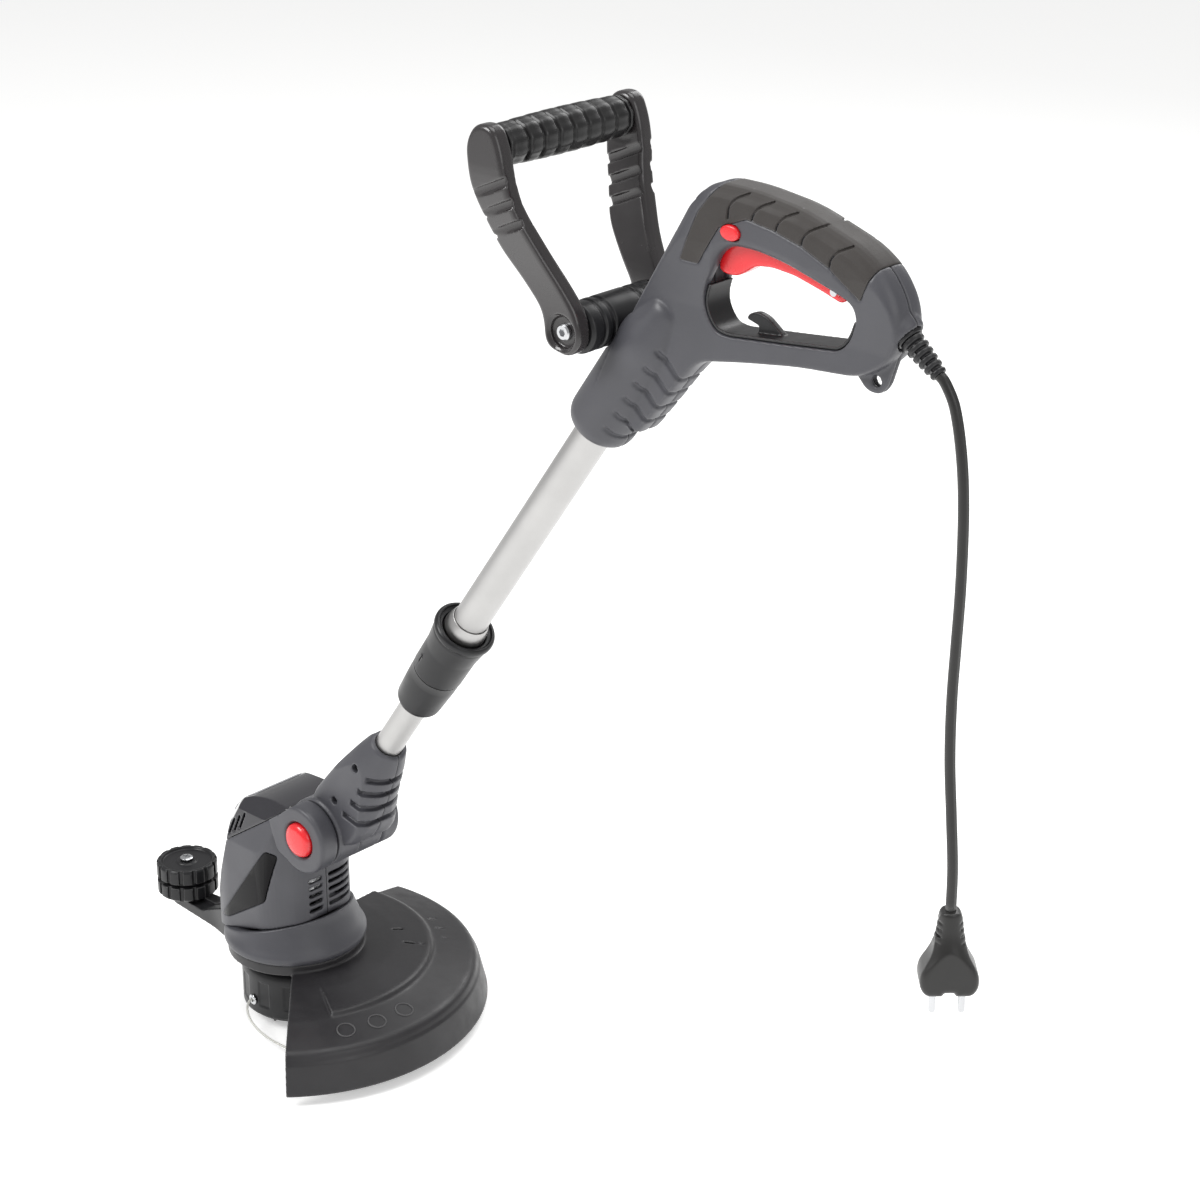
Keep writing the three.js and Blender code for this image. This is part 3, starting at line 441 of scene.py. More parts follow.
    def add(self, *tools: "Solid") -> "Solid":
        """Join other solids to this one."""
        return self.worked(Join.ADD, tools)

    def cut(self, *tools: "Solid") -> "Solid":
        """Cut other solids out of this one."""
        return self.worked(Join.CUT, tools)

    def keep(self, *tools: "Solid") -> "Solid":
        """Keep only what lies in the other solids too."""
        return self.worked(Join.KEEP, tools)

    def cast(self, voxel: float = 1.0, rounds: int = 6) -> "Solid":
        """Lay an even skin over the solid and ease its edges, as a mould does.

        Args:
            voxel: Size of the skin's faces.
            rounds: Rounds of easing; more give larger radii.

        Returns:
            This solid.
        """
        skin = self.obj.modifiers.new("skin", "REMESH")
        skin.mode = "VOXEL"
        skin.voxel_size = voxel
        ease = self.obj.modifiers.new("ease", "SMOOTH")
        ease.factor = 0.5
        ease.iterations = rounds
        return self._apply()

    def chamfered(self, width: float = 0.4, segments: int = 2, limit: float = 40.0) -> "Solid":
        """Take the sharpness off edges that turn by more than a limit in degrees."""
        bevel = self.obj.modifiers.new("edge", "BEVEL")
        bevel.width = width
        bevel.segments = segments
        bevel.limit_method = "ANGLE"
        bevel.angle_limit = math.radians(limit)
        return self._apply()


def join(first: Solid, *rest: Solid) -> Solid:
    """Join several solids into the first."""
    return first.add(*rest)


def through(points: Outline, half: float = 90.0) -> Solid:
    """Make a sharp prism right across the tool, to cut or keep with."""
    return Solid.prism(points, -half, half)


def end_on(points: Outline) -> Solid:
    """Make a sharp prism right along the tool from an outline in Y and Z."""
    return Solid.prism(points, -1000, 1000, place=Matrix.Rotation(-math.pi / 2, 4, "Z"))


def band(line: Sequence[Vector], width: float) -> Solid:
    """Make a strip right across the tool that follows a line in its side view."""
    half = width / 2
    return Solid.swept(line, [(-60, -half), (60, -half), (60, half), (-60, half)])


def half_of(side: int) -> Solid:
    """Give the space on one side of the parting plane, -1 for the left."""
    inner = GAP / 2 if side > 0 else -GAP / 2
    return Solid.block((-1000, 1000), (inner, side * 500), (-500, 1500))


def deliver(solid: Solid, name: str, body: str, finish: "Finish",
            nodes: Sequence[str] = (), crease: float = 180.0) -> bpy.types.Object:
    """Put a shaped solid into the frame as a piece.

    Args:
        solid: The shape, in millimetres of the layout.
        name: The piece's name.
        body: The body that it moves with.
        finish: What it is made of.
        nodes: The CAD nodes that it stands for.
        crease: Edges that turn by more than this, in degrees, stay sharp.

    Returns:
        The finished object.
    """
    obj = solid.obj
    obj.name = obj.data.name = name
    obj.data.transform(Matrix.Translation(ORIGIN) @ Matrix.Scale(MM, 4))
    obj.data.shade_smooth()
    if crease < 180.0:
        obj.data.set_sharp_from_angle(angle=math.radians(crease))
    obj.data.materials.clear()
    obj.data.materials.append(finish.material())
    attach(obj, body)
    if nodes:
        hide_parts(*nodes)
    LOG.info("%s: %d faces on %s", name, len(obj.data.polygons), body)
    return obj


def dress(node: str, finish: "Finish") -> None:
    """Give a CAD node that stays in sight or inside the tool its finish."""
    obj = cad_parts[node]
    obj.data.materials.clear()
    obj.data.materials.append(finish.material())


# ------------------------------------------------------------------ finishes
# near-white colour of the painted highlight laid on convex edges
EDGE_HIGHLIGHT_COLOUR = "#e7e7e7"
# a colour mix repeats its socket names for each kind of value, so these go by number
MIX_FACTOR, MIX_FIRST, MIX_SECOND, MIX_RESULT = 0, 6, 7, 2


def linear(hex_colour: str) -> tuple[float, float, float, float]:
    """Turn an sRGB hex colour into the linear one that a shader takes.

    Args:
        hex_colour: The colour, such as "#5b5b60".

    Returns:
        Red, green, blue and an alpha of one.
    """
    parts = [int(hex_colour[i:i + 2], 16) / 255 for i in (1, 3, 5)]
    return (*(p / 12.92 if p <= 0.04045 else ((p + 0.055) / 1.055) ** 2.4 for p in parts), 1.0)


def add(tree: bpy.types.NodeTree, kind: str, settings: Optional[dict] = None,
        links: Optional[dict] = None) -> bpy.types.Node:
    """Add a shader node with its settings and incoming links.

    Args:
        tree: The material's node tree.
        kind: The node's type.
        settings: Values by the name of an input, or of a property of the node.
        links: Outputs by the name of the input that they feed.

    Returns:
        The node.
    """
    node = tree.nodes.new(kind)
    for name, value in (settings or {}).items():
        if hasattr(node, name):
            setattr(node, name, value)
        else:
            node.inputs[name].default_value = value
    for name, output in (links or {}).items():
        tree.links.new(output, node.inputs[name])
    return node


def per_metre(size_mm: float) -> float:
    """Give the texture scale at which a noise pattern repeats every size in millimetres."""
    return 1.0 / (size_mm * MM)


@dataclass(frozen=True)
class Finish:
    """A material and how its surface was made; the parts below are shared by all of them.

    The colour drifts a little over the piece, a fine grain lifts the surface, handling
    polishes it in patches, and convex edges get a painted paler highlight.
    """

    name: str
    colour: str
    roughness: float
    grain_mm: float = 0.6
    grain_height_mm: float = 0.03
    drift: float = 0.06
    drift_mm: float = 60.0
    polish: float = 0.06
    # strength of the painted paler highlight on convex edges
    edge_highlight: float = 0.12
    metallic: float = 0.0
    ior: float = 1.5
    coat: float = 0.0
    sheen: float = 0.0
    stretch: tuple[float, float, float] = (1.0, 1.0, 1.0)
    turn: tuple[float, float, float] = (0.0, 0.0, 0.0)

    def material(self) -> bpy.types.Material:
        """Give the finish's material, making it the first time."""
        found = bpy.data.materials.get(self.name)
        return found or self._make()

    def _make(self) -> bpy.types.Material:
        """Build the material's nodes.

        Returns:
            The new material.
        """
        material = bpy.data.materials.new(self.name)
        material.use_nodes = True
        tree = material.node_tree
        tree.nodes.clear()
        place = add(tree, "ShaderNodeTexCoord").outputs["Object"]
        turned = add(tree, "ShaderNodeMapping", {"Rotation": self.turn}, {"Vector": place})
        along = add(tree, "ShaderNodeMapping", {"Scale": self.stretch}, {"Vector": turned.outputs[0]})
        shader = add(tree, "ShaderNodeBsdfPrincipled", self._constants())
        self._paint(tree, shader, place)
        self._roughen(tree, shader, place)
        self._grain(tree, shader, along.outputs[0])
        add(tree, "ShaderNodeOutputMaterial", links={"Surface": shader.outputs[0]})
        return material

    def _constants(self) -> dict:
        """Give the shader values that are the same all over the surface."""
        values = {"Metallic": self.metallic, "Coat Weight": self.coat, "Coat Roughness": 0.12,
                  "Sheen Weight": self.sheen, "Sheen Roughness": 0.5}
        if not self.metallic:
            values["IOR"] = self.ior
        return values

    def _paint(self, tree: bpy.types.NodeTree, shader: bpy.types.Node,
               place: bpy.types.NodeSocket) -> None:
        """Drift the colour over the piece and paint a paler highlight on its convex edges.

        Args:
            tree: The material's node tree.
            shader: The shader to feed.
            place: The point on the piece.
        """
        cloud = add(tree, "ShaderNodeTexNoise", {"Scale": per_metre(self.drift_mm), "Detail": 5.0},
                    {"Vector": place})
        base = linear(self.colour)
        shades = [tuple(min(1.0, channel * factor) for channel in base[:3]) + (1.0,)
                  for factor in (1 - self.drift, 1 + self.drift)]
        ramp = add(tree, "ShaderNodeValToRGB", links={"Fac": cloud.outputs["Fac"]})
        ramp.color_ramp.elements[0].position, ramp.color_ramp.elements[1].position = 0.35, 0.65
        ramp.color_ramp.elements[0].color, ramp.color_ramp.elements[1].color = shades
        # painted highlight: edges, found by their pointiness, are mixed towards a near-white colour
        bend = add(tree, "ShaderNodeNewGeometry").outputs["Pointiness"]
        edge = add(tree, "ShaderNodeMapRange", {"From Min": 0.52, "From Max": 0.6,
                                                "To Max": self.edge_highlight}, {"Value": bend})
        highlit_edge = add(tree, "ShaderNodeMix", {"data_type": "RGBA"})
        highlit_edge.inputs[MIX_SECOND].default_value = linear(EDGE_HIGHLIGHT_COLOUR)
        tree.links.new(edge.outputs[0], highlit_edge.inputs[MIX_FACTOR])
        tree.links.new(ramp.outputs[0], highlit_edge.inputs[MIX_FIRST])
        tree.links.new(highlit_edge.outputs[MIX_RESULT], shader.inputs["Base Color"])

    def _roughen(self, tree: bpy.types.NodeTree, shader: bpy.types.Node,
                 place: bpy.types.NodeSocket) -> None:
        """Polish the surface in soft patches, as hands and grass do.

        Args:
            tree: The material's node tree.
            shader: The shader to feed.
            place: The point on the piece.
        """
        patch = add(tree, "ShaderNodeTexNoise", {"Scale": per_metre(self.drift_mm / 3), "Detail": 6.0,
                                                 "Roughness": 0.6}, {"Vector": place})
        level = add(tree, "ShaderNodeMapRange", {"From Min": 0.3, "From Max": 0.7,
                                                 "To Min": self.roughness - self.polish,
                                                 "To Max": self.roughness + self.polish},
                    {"Value": patch.outputs["Fac"]})
        tree.links.new(level.outputs[0], shader.inputs["Roughness"])

    def _grain(self, tree: bpy.types.NodeTree, shader: bpy.types.Node,
               along: bpy.types.NodeSocket) -> None:
        """Lift the surface by its own grain.

        Args:
            tree: The material's node tree.
            shader: The shader to feed.
            along: The point on the piece, drawn out along the grain.
        """
        grain = add(tree, "ShaderNodeTexNoise", {"Scale": per_metre(self.grain_mm), "Detail": 3.0},
                    {"Vector": along})
        bump = add(tree, "ShaderNodeBump", {"Strength": 1.0, "Distance": self.grain_height_mm * MM},
                   {"Height": grain.outputs["Fac"]})
        tree.links.new(bump.outputs[0], shader.inputs["Normal"])


@dataclass(frozen=True)
class TurnedSteel(Finish):
    """Bright zinc-plated steel, with the fine rings that a lathe leaves."""

    metallic: float = 1.0
    pitch_mm: float = 0.5

    def _grain(self, tree: bpy.types.NodeTree, shader: bpy.types.Node,
               along: bpy.types.NodeSocket) -> None:
        """Cut fine even grooves into the surface."""
        rings = add(tree, "ShaderNodeTexWave", {"Scale": per_metre(self.pitch_mm) / 20, "Distortion": 0.6,
                                                "Detail": 2.0, "bands_direction": "DIAGONAL"},
                    {"Vector": along})
        bump = add(tree, "ShaderNodeBump", {"Strength": 0.5, "Distance": self.grain_height_mm * MM},
                   {"Height": rings.outputs["Fac"]})
        tree.links.new(bump.outputs[0], shader.inputs["Normal"])


@dataclass(frozen=True)
class Elastomer(Finish):
    """Soft overmoulded rubber: matt, with fine pits that catch the light as specks."""

    pit_mm: float = 1.1

    def _grain(self, tree: bpy.types.NodeTree, shader: bpy.types.Node,
               along: bpy.types.NodeSocket) -> None:
        """Pit the surface with close round cells."""
        cells = add(tree, "ShaderNodeTexVoronoi", {"Scale": per_metre(self.pit_mm), "Randomness": 0.7},
                    {"Vector": along})
        bump = add(tree, "ShaderNodeBump", {"Strength": 0.6, "Distance": self.grain_height_mm * MM},
                   {"Height": cells.outputs["Distance"]})
        tree.links.new(bump.outputs[0], shader.inputs["Normal"])


@dataclass(frozen=True)
class ClearNylon(Finish):
    """Extruded nylon monofilament: milky, letting some light through."""

    def _constants(self) -> dict:
        """Let light into the line."""
        return {**super()._constants(), "Transmission Weight": 0.45}


# how far the shaft leans back from upright; the tubes' drawing marks lie along it
SHAFT_LEAN = math.radians(35.2)

# ABS, injection moulded in an eroded tool: satin grey with a fine even sparkle
ABS_SHELL = Finish("moulded_abs_charcoal", "#45454a", 0.42, grain_mm=0.7, grain_height_mm=0.022)
# glass-filled nylon, moulded: near black, its edges with a soft painted highlight
NYLON_BLACK = Finish("moulded_nylon_black", "#19191b", 0.36, grain_mm=0.8, grain_height_mm=0.02,
                     ior=1.42)
# polished moulded nylon: wide soft highlights, the grain almost gone
NYLON_GLOSS = Finish("polished_nylon_black", "#2c292a", 0.24, grain_mm=1.4, grain_height_mm=0.012,
                     coat=0.25)
# polypropylene, moulded in a grained tool: dull with a broad sheen and light scuffs
PP_GUARD = Finish("grained_polypropylene", "#272628", 0.4, grain_mm=0.9, grain_height_mm=0.03,
                  drift=0.1, polish=0.1, edge_highlight=0.14, ior=1.45)
# thermoplastic elastomer, overmoulded: matt dark brown-grey
SOFT_GRIP = Elastomer("overmoulded_elastomer", "#2b2623", 0.62, grain_height_mm=0.06, sheen=0.15,
                      edge_highlight=0.08)
# ribbed nitrile sleeve of the front grip: blacker and smoother than the saddle
GRIP_SLEEVE = Elastomer("moulded_rubber_sleeve", "#121112", 0.36, grain_height_mm=0.03, pit_mm=1.5)
# polished ABS in signal red: clean gloss
ABS_RED = Finish("polished_abs_red", "#e01f27", 0.26, grain_mm=1.5, grain_height_mm=0.01, coat=0.3,
                 drift=0.03, edge_highlight=0.04)
# painted ABS trim: paler than the shell
TRIM_GREY = Finish("moulded_abs_trim", "#68686d", 0.36, grain_mm=0.7, grain_height_mm=0.02)
# high-gloss ABS of the top cap: mirrors the light softly
CAP_GLOSS = Finish("high_gloss_abs", "#26252a", 0.18, grain_mm=2.0, grain_height_mm=0.008, coat=0.5)
# drawn aluminium tube, anodised: satin silver with faint lengthwise drawing marks
ALUMINIUM = Finish("anodised_aluminium_tube", "#b4b3b2", 0.36, grain_mm=0.5, grain_height_mm=0.01,
                   metallic=1.0, drift=0.03, polish=0.04, edge_highlight=0.0,
                   stretch=(1.0, 1.0, 0.01), turn=(0.0, -SHAFT_LEAN, 0.0))
# bright plated steel of bolts and pins
STEEL = TurnedSteel("turned_plated_steel", "#c4c5c7", 0.24, edge_highlight=0.0, grain_height_mm=0.01)
# plasticised PVC sheath: black, slightly waxy
PVC_SHEATH = Finish("extruded_pvc_sheath", "#161514", 0.38, grain_mm=2.0, grain_height_mm=0.02, sheen=0.1)
# nylon trimmer line: milky white
NYLON_LINE = ClearNylon("extruded_nylon_line", "#e6e6e0", 0.3, grain_mm=1.0, grain_height_mm=0.01,
                        edge_highlight=0.0)
# polished sheet for the blank side badge: black mirror gloss
BADGE_BLACK = Finish("lacquered_badge_black", "#0d0c0e", 0.2, grain_mm=2.0, grain_height_mm=0.004,
                     ior=1.22, edge_highlight=0.05)


# ------------------------------------------------------------------ studio
@dataclass
class Studio:
    """The floor, the soft lights and the camera."""

    azimuth: float = 43.0
    elevation: float = 23.0
    lens: float = 84.0
    eye: tuple[float, float, float] = (1542.2, -1290.4, 1207.6)
    floor_size: float = 12.0
    floor_drop: float = 0.0004
    aim: tuple[float, float, float] = (-0.25, 0.0, -0.35)

    def camera(self) -> None:
        """Set the camera up where the whole tool stands in view."""
        data = bpy.data.cameras.new("camera")
        data.lens = self.lens
        data.sensor_width = 36.0
        data.clip_end = 50.0
        obj = bpy.data.objects.new("camera", data)
        obj.location = placed(*self.eye)
        obj.rotation_euler = (math.radians(90 - self.elevation), 0.0, math.radians(self.azimuth))
        bpy.context.scene.collection.objects.link(obj)
        bpy.context.scene.camera = obj

    def floor(self) -> None:
        """Lay a pale matt floor just under the tool."""
        half = self.floor_size / 2
        mesh = bpy.data.meshes.new("floor")
        level = ORIGIN.z - self.floor_drop
        mesh.from_pydata([(-half, -half, level), (half, -half, level), (half, half, level),
                          (-half, half, level)], [], [(0, 1, 2, 3)])
        obj = bpy.data.objects.new("floor", mesh)
        bpy.context.scene.collection.objects.link(obj)
        paper = bpy.data.materials.new("pale_paper_floor")
        paper.use_nodes = True
        shader = paper.node_tree.nodes["Principled BSDF"]
        shader.inputs["Base Color"].default_value = linear("#f7f7f6")
        shader.inputs["Roughness"].default_value = 0.9
        shader.inputs["Emission Color"].default_value = linear("#ffffff")
        shader.inputs["Emission Strength"].default_value = 0.38
        mesh.materials.append(paper)

    def _panel(self, name: str, at: tuple[float, float, float], size: float, power: float) -> None:
        """Hang a soft square light that faces the middle of the tool.

        Args:
            name: The light's name.
            at: Its place in metres, from the middle of the rear grip.
            size: Length of its sides in metres.
            power: Its power in watts.
        """
        data = bpy.data.lights.new(name, "AREA")
        data.size = size
        data.energy = power
        obj = bpy.data.objects.new(name, data)
        obj.location = at
        ahead = Vector(self.aim) - Vector(at)
        obj.rotation_euler = ahead.to_track_quat("-Z", "Y").to_euler()
        bpy.context.scene.collection.objects.link(obj)

    def light(self) -> None:
        """Light the tool softly from all round, brightest from above and the left."""
        self._panel("key", (-1.3, -1.9, 1.6), 1.2, 52)
        self._panel("fill", (2.2, -0.6, 0.9), 1.6, 14)
        self._panel("top", (0.0, 0.3, 2.4), 1.8, 34)
        self._panel("rim", (-0.6, 2.2, 1.2), 1.4, 22)
        world = bpy.data.worlds.new("studio")
        world.use_nodes = True
        sky = world.node_tree.nodes["Background"]
        sky.inputs["Color"].default_value = linear("#ffffff")
        sky.inputs["Strength"].default_value = 0.48
        bpy.context.scene.world = world
        bpy.context.scene.view_settings.view_transform = "Standard"


# ------------------------------------------------------------------ shaft and neck
PIVOT = Vector((57.0, 0.0, 187.0))
TILT_AXLE = Matrix.Translation(PIVOT) @ LEFTWARD
SHAFT = Matrix.Translation(PIVOT) @ Matrix.Rotation(SHAFT_LEAN, 4, "Y")


@dataclass
class Shaft:
    """The two tubes and the twist-lock collar, turned about the shaft's own line."""

    lower_radius: float = 10.75
    upper_radius: float = 13.0
    lower_wall: float = 1.3
    upper_wall: float = 1.4
    lower: Point = (92.0, 500.0)
    upper: Point = (172.0, 600.0)
    bottom: float = 165.0
    seam: float = 207.0
    top: float = 260.0
    mouth: float = 23.5
    waist: float = 19.6
    foot: float = 17.0

    def _tube(self, radius: float, wall: float, span: Point) -> Solid:
        """Draw one tube with eased ends."""
        inner, (low, high), ease = radius - wall, span, 0.4
        return Solid.turned([(inner, low), (radius - ease, low), (radius, low + ease),
                             (radius, high - ease), (radius - ease, high), (inner, high)], 96, SHAFT)

    def tubes(self) -> None:
        """Build the two drawn tubes."""
        lower = self._tube(self.lower_radius, self.lower_wall, self.lower)
        deliver(lower, "lower_tube_drawn", "lower_shaft", ALUMINIUM, ["lower_tube"], 40)
        upper = self._tube(self.upper_radius, self.upper_wall, self.upper)
        deliver(upper, "upper_tube_drawn", "handle", ALUMINIUM, ["upper_tube"], 40)

    def collar(self) -> None:
        """Build the fixed base, the turning sleeve and the bright bush in its mouth."""
        spigot = self.upper_radius + 2
        outer = [(self.lower_radius + GAP, self.bottom), (self.foot - 4, self.bottom),
                 (self.foot + 0.4, self.bottom + 4), (self.waist - 0.6, self.seam - 12),
                 (self.waist - 0.3, self.seam - GAP)]
        inner = [(spigot, self.seam - GAP), (spigot, self.top - 14),
                 (self.upper_radius + GAP, self.top - 14), (self.upper_radius + GAP, self.bottom + 6),
                 (self.lower_radius + GAP, self.bottom + 6)]
        base = Solid.turned(rounded(outer, 5, 5, closed=False) + inner, 96, SHAFT)
        deliver(base, "collar_base_moulded", "handle", NYLON_BLACK, ["collar_base"], 35)

        sleeve = [(spigot + GAP, self.seam), (self.waist - 0.5, self.seam), (self.waist, self.seam + 1),
                  (self.waist + 0.4, self.top - 26), (self.mouth - 1.4, self.top - 9),
                  (self.mouth - 1.7, self.top - 7), (self.mouth, self.top - 5.4),
                  (self.mouth, self.top - 1.8), (self.mouth - 1.6, self.top), (self.mouth - 3, self.top),
                  (self.mouth - 3.6, self.top - 2.6), (spigot + 2.2, self.top - 2.6),
                  (spigot + 2, self.top - 8), (spigot + GAP, self.top - 9)]
        shell = Solid.turned(rounded(sleeve, 1.4, 3), 96, SHAFT)
        shell.cut(*self._marks())
        deliver(shell, "collar_sleeve_moulded", "collar", NYLON_BLACK, ["collar_sleeve"], 35)

        bore = self.upper_radius + GAP
        bush = [(bore, self.top - 6), (bore + 3, self.top - 6), (bore + 3, self.top - 1),
                (bore + 2.2, self.top + 3), (bore + 0.6, self.top + 9), (bore, self.top + 9)]
        ring = Solid.turned(rounded(bush, 2.4, 5), 96, SHAFT)
        deliver(ring, "collar_bush_turned", "handle", ALUMINIUM, ["collar_bush"], 40)

    def _marks(self) -> list[Solid]:
        """Give the sunk turning arrows on both sides of the sleeve."""
        arrow = [(-2.2, 6), (0, 9.5), (2.2, 6), (0.8, 6), (0.8, 0), (-0.8, 0), (-0.8, 6)]
        low = self.waist - 0.3
        marks = []
        for turn in (math.radians(-115), math.radians(65)):
            place = (SHAFT @ Matrix.Rotation(turn - math.pi / 2, 4, "Z")
                     @ Matrix.Translation((0, 0, self.seam + 9)))
            marks.append(Solid.prism(arrow, low, low + 6, place=place))
        return marks

    def build(self) -> None:
        """Build the whole shaft."""
        self.tubes()
        self.collar()


@dataclass
class Neck:
    """The two half shells that carry the lower tube and swing on the tilt axle."""

    top: float = 110.0
    radius: float = 14.8
    knuckle: float = 28.0
    half_width: float = 23.0
    rib_heights: tuple[float, ...] = (96.0, 82.0, 67.0, 51.0)
    rib_depth: float = 4.8
    rib_width: float = 5.6
    tube_bore: float = 11.05
    axle_bore: float = 9.3
    screw_wells: tuple[float, ...] = (84.0, 40.0)

    def _block(self, shrink: float = 0.0) -> Solid:
        """Shape the tapering block of both halves, or its core when shrunk."""
        outline = [(-self.radius, self.top), (self.radius, self.top), (18, 98), (23, 82), (27, 60),
                   (32, 40), (32, 22), (20, 8), (-18, 8), (-24, 24), (-21, 58)]
        cone = [(0, 8), (46, 8), (38, 30), (27.5, 60), (20, 92), (self.radius, self.top - 1.5),
                (self.radius - 1.2, self.top), (0, self.top)]
        cone = [(max(0.0, radius - shrink), height) for radius, height in cone]
        half = 21 - shrink
        body = Solid.prism(rounded(inset(outline, shrink), 8), -half, half, 6, place=SHAFT)
        return body.keep(Solid.turned(rounded(cone, 8, 5, closed=False), 96, SHAFT))

    def _body(self) -> Solid:
        """Shape both halves as one, with deep finger grooves across the back."""
        grooves = []
        for height in self.rib_heights:
            line = [SHAFT @ Vector((reach, 0, height - 16 + 0.42 * reach)) for reach in (9, 18, 26, 36, 52)]
            grooves.append(band(flowing(line, 4), self.rib_width))
        tool = join(*grooves).cut(self._block(self.rib_depth))
        body = self._block().cut(tool)
        return body.add(Solid.rod(self.knuckle, PIVOT.x, PIVOT.z, (-self.half_width, self.half_width), 96))

    def build(self) -> None:
        """Build both halves, parted along the middle."""
        body = self._body()
        body.cut(Solid.peg(self.tube_bore, 92, 300, 96, SHAFT),
                 Solid.rod(self.axle_bore, PIVOT.x, PIVOT.z, (-60, 60)))
        for name, side in (("neck_left", -1), ("neck_right", 1)):
            part = body.copy().keep(half_of(side))
            if side < 0:
                wells = (SHAFT @ Matrix.Translation((-3, -15, height)) @ LEFTWARD for height in self.screw_wells)
                part.cut(*(Solid.peg(3.4, 0, 60, 32, well) for well in wells))
            part.cast(0.8, 5)
            deliver(part, f"{name}_moulded", "lower_shaft", ABS_SHELL, [name])
        bpy.data.objects.remove(body.obj)


# ------------------------------------------------------------------ motor head
@dataclass
class MotorHead:
    """The side shells, top cap, badges, base ring and release button of the motor head."""

    half_width: float = 45.0
    cheek_inner: float = 23.6
    cheek_outer: float = 41.0
    cheek_radius: float = 28.0
    wall: float = 3.0
    ring_radius: float = 58.0
    rim: float = 67.0
    seat: float = 88.0
    seam_rise: float = 0.3
    button_radius: float = 14.0
    button_proud: float = 4.5
    corner_turn: float = 43.0
    side: Outline = field(default_factory=lambda: [
        (-55, 60), (-57, 104), (-52, 140), (-42, 172), (-20, 196), (8, 201), (32, 199.5),
        (44, 190), (46, 150), (42, 128), (41, 60)])
    plan: Outline = field(default_factory=lambda: [
        (-58, -16), (-50, -38), (-34, -45), (18, -45), (41, -24),
        (41, 24), (18, 45), (-34, 45), (-50, 38), (-58, 16)])
    front: Outline = field(default_factory=lambda: [
        (-45, 40), (-45, 160), (-37, 188), (-20, 208), (20, 208), (37, 188), (45, 160), (45, 40)])
    corner: Outline = field(default_factory=lambda: [
        (-62.5, 40), (-62.5, 92), (-57, 128), (-48, 170), (-38, 190), (-24, 208), (200, 208), (200, 40)])
    cheek_side: Outline = field(default_factory=lambda: [
        (20, 196), (30, 168), (57, 160), (76, 166), (62, 186), (34, 203)])
    badge: Outline = field(default_factory=lambda: [
        (-29, 89), (15, 118), (26, 160), (18, 163), (-38, 87)])
    cap_zone: Outline = field(default_factory=lambda: [
        (-70, 124), (-42, 149), (12, 186), (36, 203), (60, 222), (60, 260), (-90, 260)])
    swing: Outline = field(default_factory=lambda: [
        (57, 187), (26, 222), (40, 300), (200, 300), (200, 120), (66, 160)])

    def _body(self, shrink: float = 0.0) -> Solid:
        """Shape the head's main block, or its inside when shrunk."""
        half = self.half_width - shrink
        block = Solid.prism(rounded(inset(self.side, shrink), 14), -half, half, 7)
        block.keep(Solid.prism(rounded(inset(self.plan, shrink), 12), 40, 230, axis=Axis.UP),
                   end_on(inset(self.front, shrink)))
        for way in (-1, 1):
            turn = Matrix.Rotation(way * math.radians(self.corner_turn), 4, "Z")
            block.keep(Solid.prism(inset(self.corner, shrink), -200, 200, place=turn))
        return block

    def _below_seam(self, offset: float) -> Solid:
        """Give the space under the sloping seam of the base ring."""
        low, high = (self.seat + offset + x * self.seam_rise for x in (-120, 120))
        return through([(-120, low), (120, high), (120, 0), (-120, 0)])

    def _swing_room(self) -> list[Solid]:
        """Give the room that the neck swings through."""
        inner = self.cheek_inner
        return [Solid.rod(31.2, PIVOT.x, PIVOT.z, (-inner, inner), 96), through(self.swing, inner)]

    def _vents(self) -> list[Solid]:
        """Give the louvres in the rear face, on each side of its seam."""
        slots = []
        for row in range(5):
            low = 106 + 6.6 * row
            for start, end in ((-27, -1.8), (4.5, 18)):
                slot = [(start, low), (end, low), (end, low + 3.2), (start, low + 3.2)]
                tool = end_on(rounded(slot, 1.4, 3))
                slots.append(tool.keep(Solid.block((30, 70), (-60, 60), (90, 150))))
        return slots

    def shells(self) -> None:
        """Build the two side shells with their round cheeks, louvres and badge seats."""
        inner, outer = self.cheek_inner, self.cheek_outer
        whole = self._body()
        for y in ((-outer, -inner), (inner, outer)):
            cheek = Solid.prism(arc((PIVOT.x, PIVOT.z), self.cheek_radius, 0, 356, 89), *y, 3)
            cheek.add(Solid.prism(rounded(self.cheek_side, 6), *y, 2))
            whole.add(cheek)
        cavity = self._body(self.wall).keep(Solid.block((-80, 38), (-60, 60), (60, 182)))
        cavity.cut(Solid.rod(33, PIVOT.x, PIVOT.z, (-60, 60)), through(inset(self.cap_zone, -self.wall)))
        whole.cut(cavity, *self._swing_room(), self._below_seam(0), through(inset(self.cap_zone, -GAP)))
        whole.cut(*self._vents(), through(rounded(inset(self.badge, -0.5), 3)).cut(self._body(1.6)))
        whole.cut(self._button_seat(), Solid.rod(9.3, PIVOT.x, PIVOT.z, (-inner - 1, 36.3)))
        for name, side in (("motor_housing_left", -1), ("motor_housing_right", 1)):
            part = whole.copy().keep(half_of(side)).cast(0.85, 4)
            deliver(part, f"{name}_moulded", "motor_head", ABS_SHELL, [name])
        bpy.data.objects.remove(whole.obj)

    def _button_seat(self) -> Solid:
        """Give the well that the release button slides in, flared at its mouth."""
        radius = self.button_radius + 0.5
        return Solid.turned([(0, 18), (radius, 18), (radius, self.cheek_outer - 2),
                             (radius + 2.4, self.cheek_outer + 0.5), (radius + 2.4, 60), (0, 60)], 96,
                            TILT_AXLE)

    def button(self) -> None:
        """Build the domed release button."""
        radius, face = self.button_radius, self.cheek_outer + self.button_proud
        profile = [(0, 31), (radius, 31), (radius, face - 4), (radius - 3.4, face - 1.2), (0, face)]
        dome = Solid.turned(rounded(profile, 4, 6, closed=False), 96, TILT_AXLE)
        deliver(dome, "tilt_button_moulded", "tilt_button", ABS_RED, ["tilt_button"], 50)

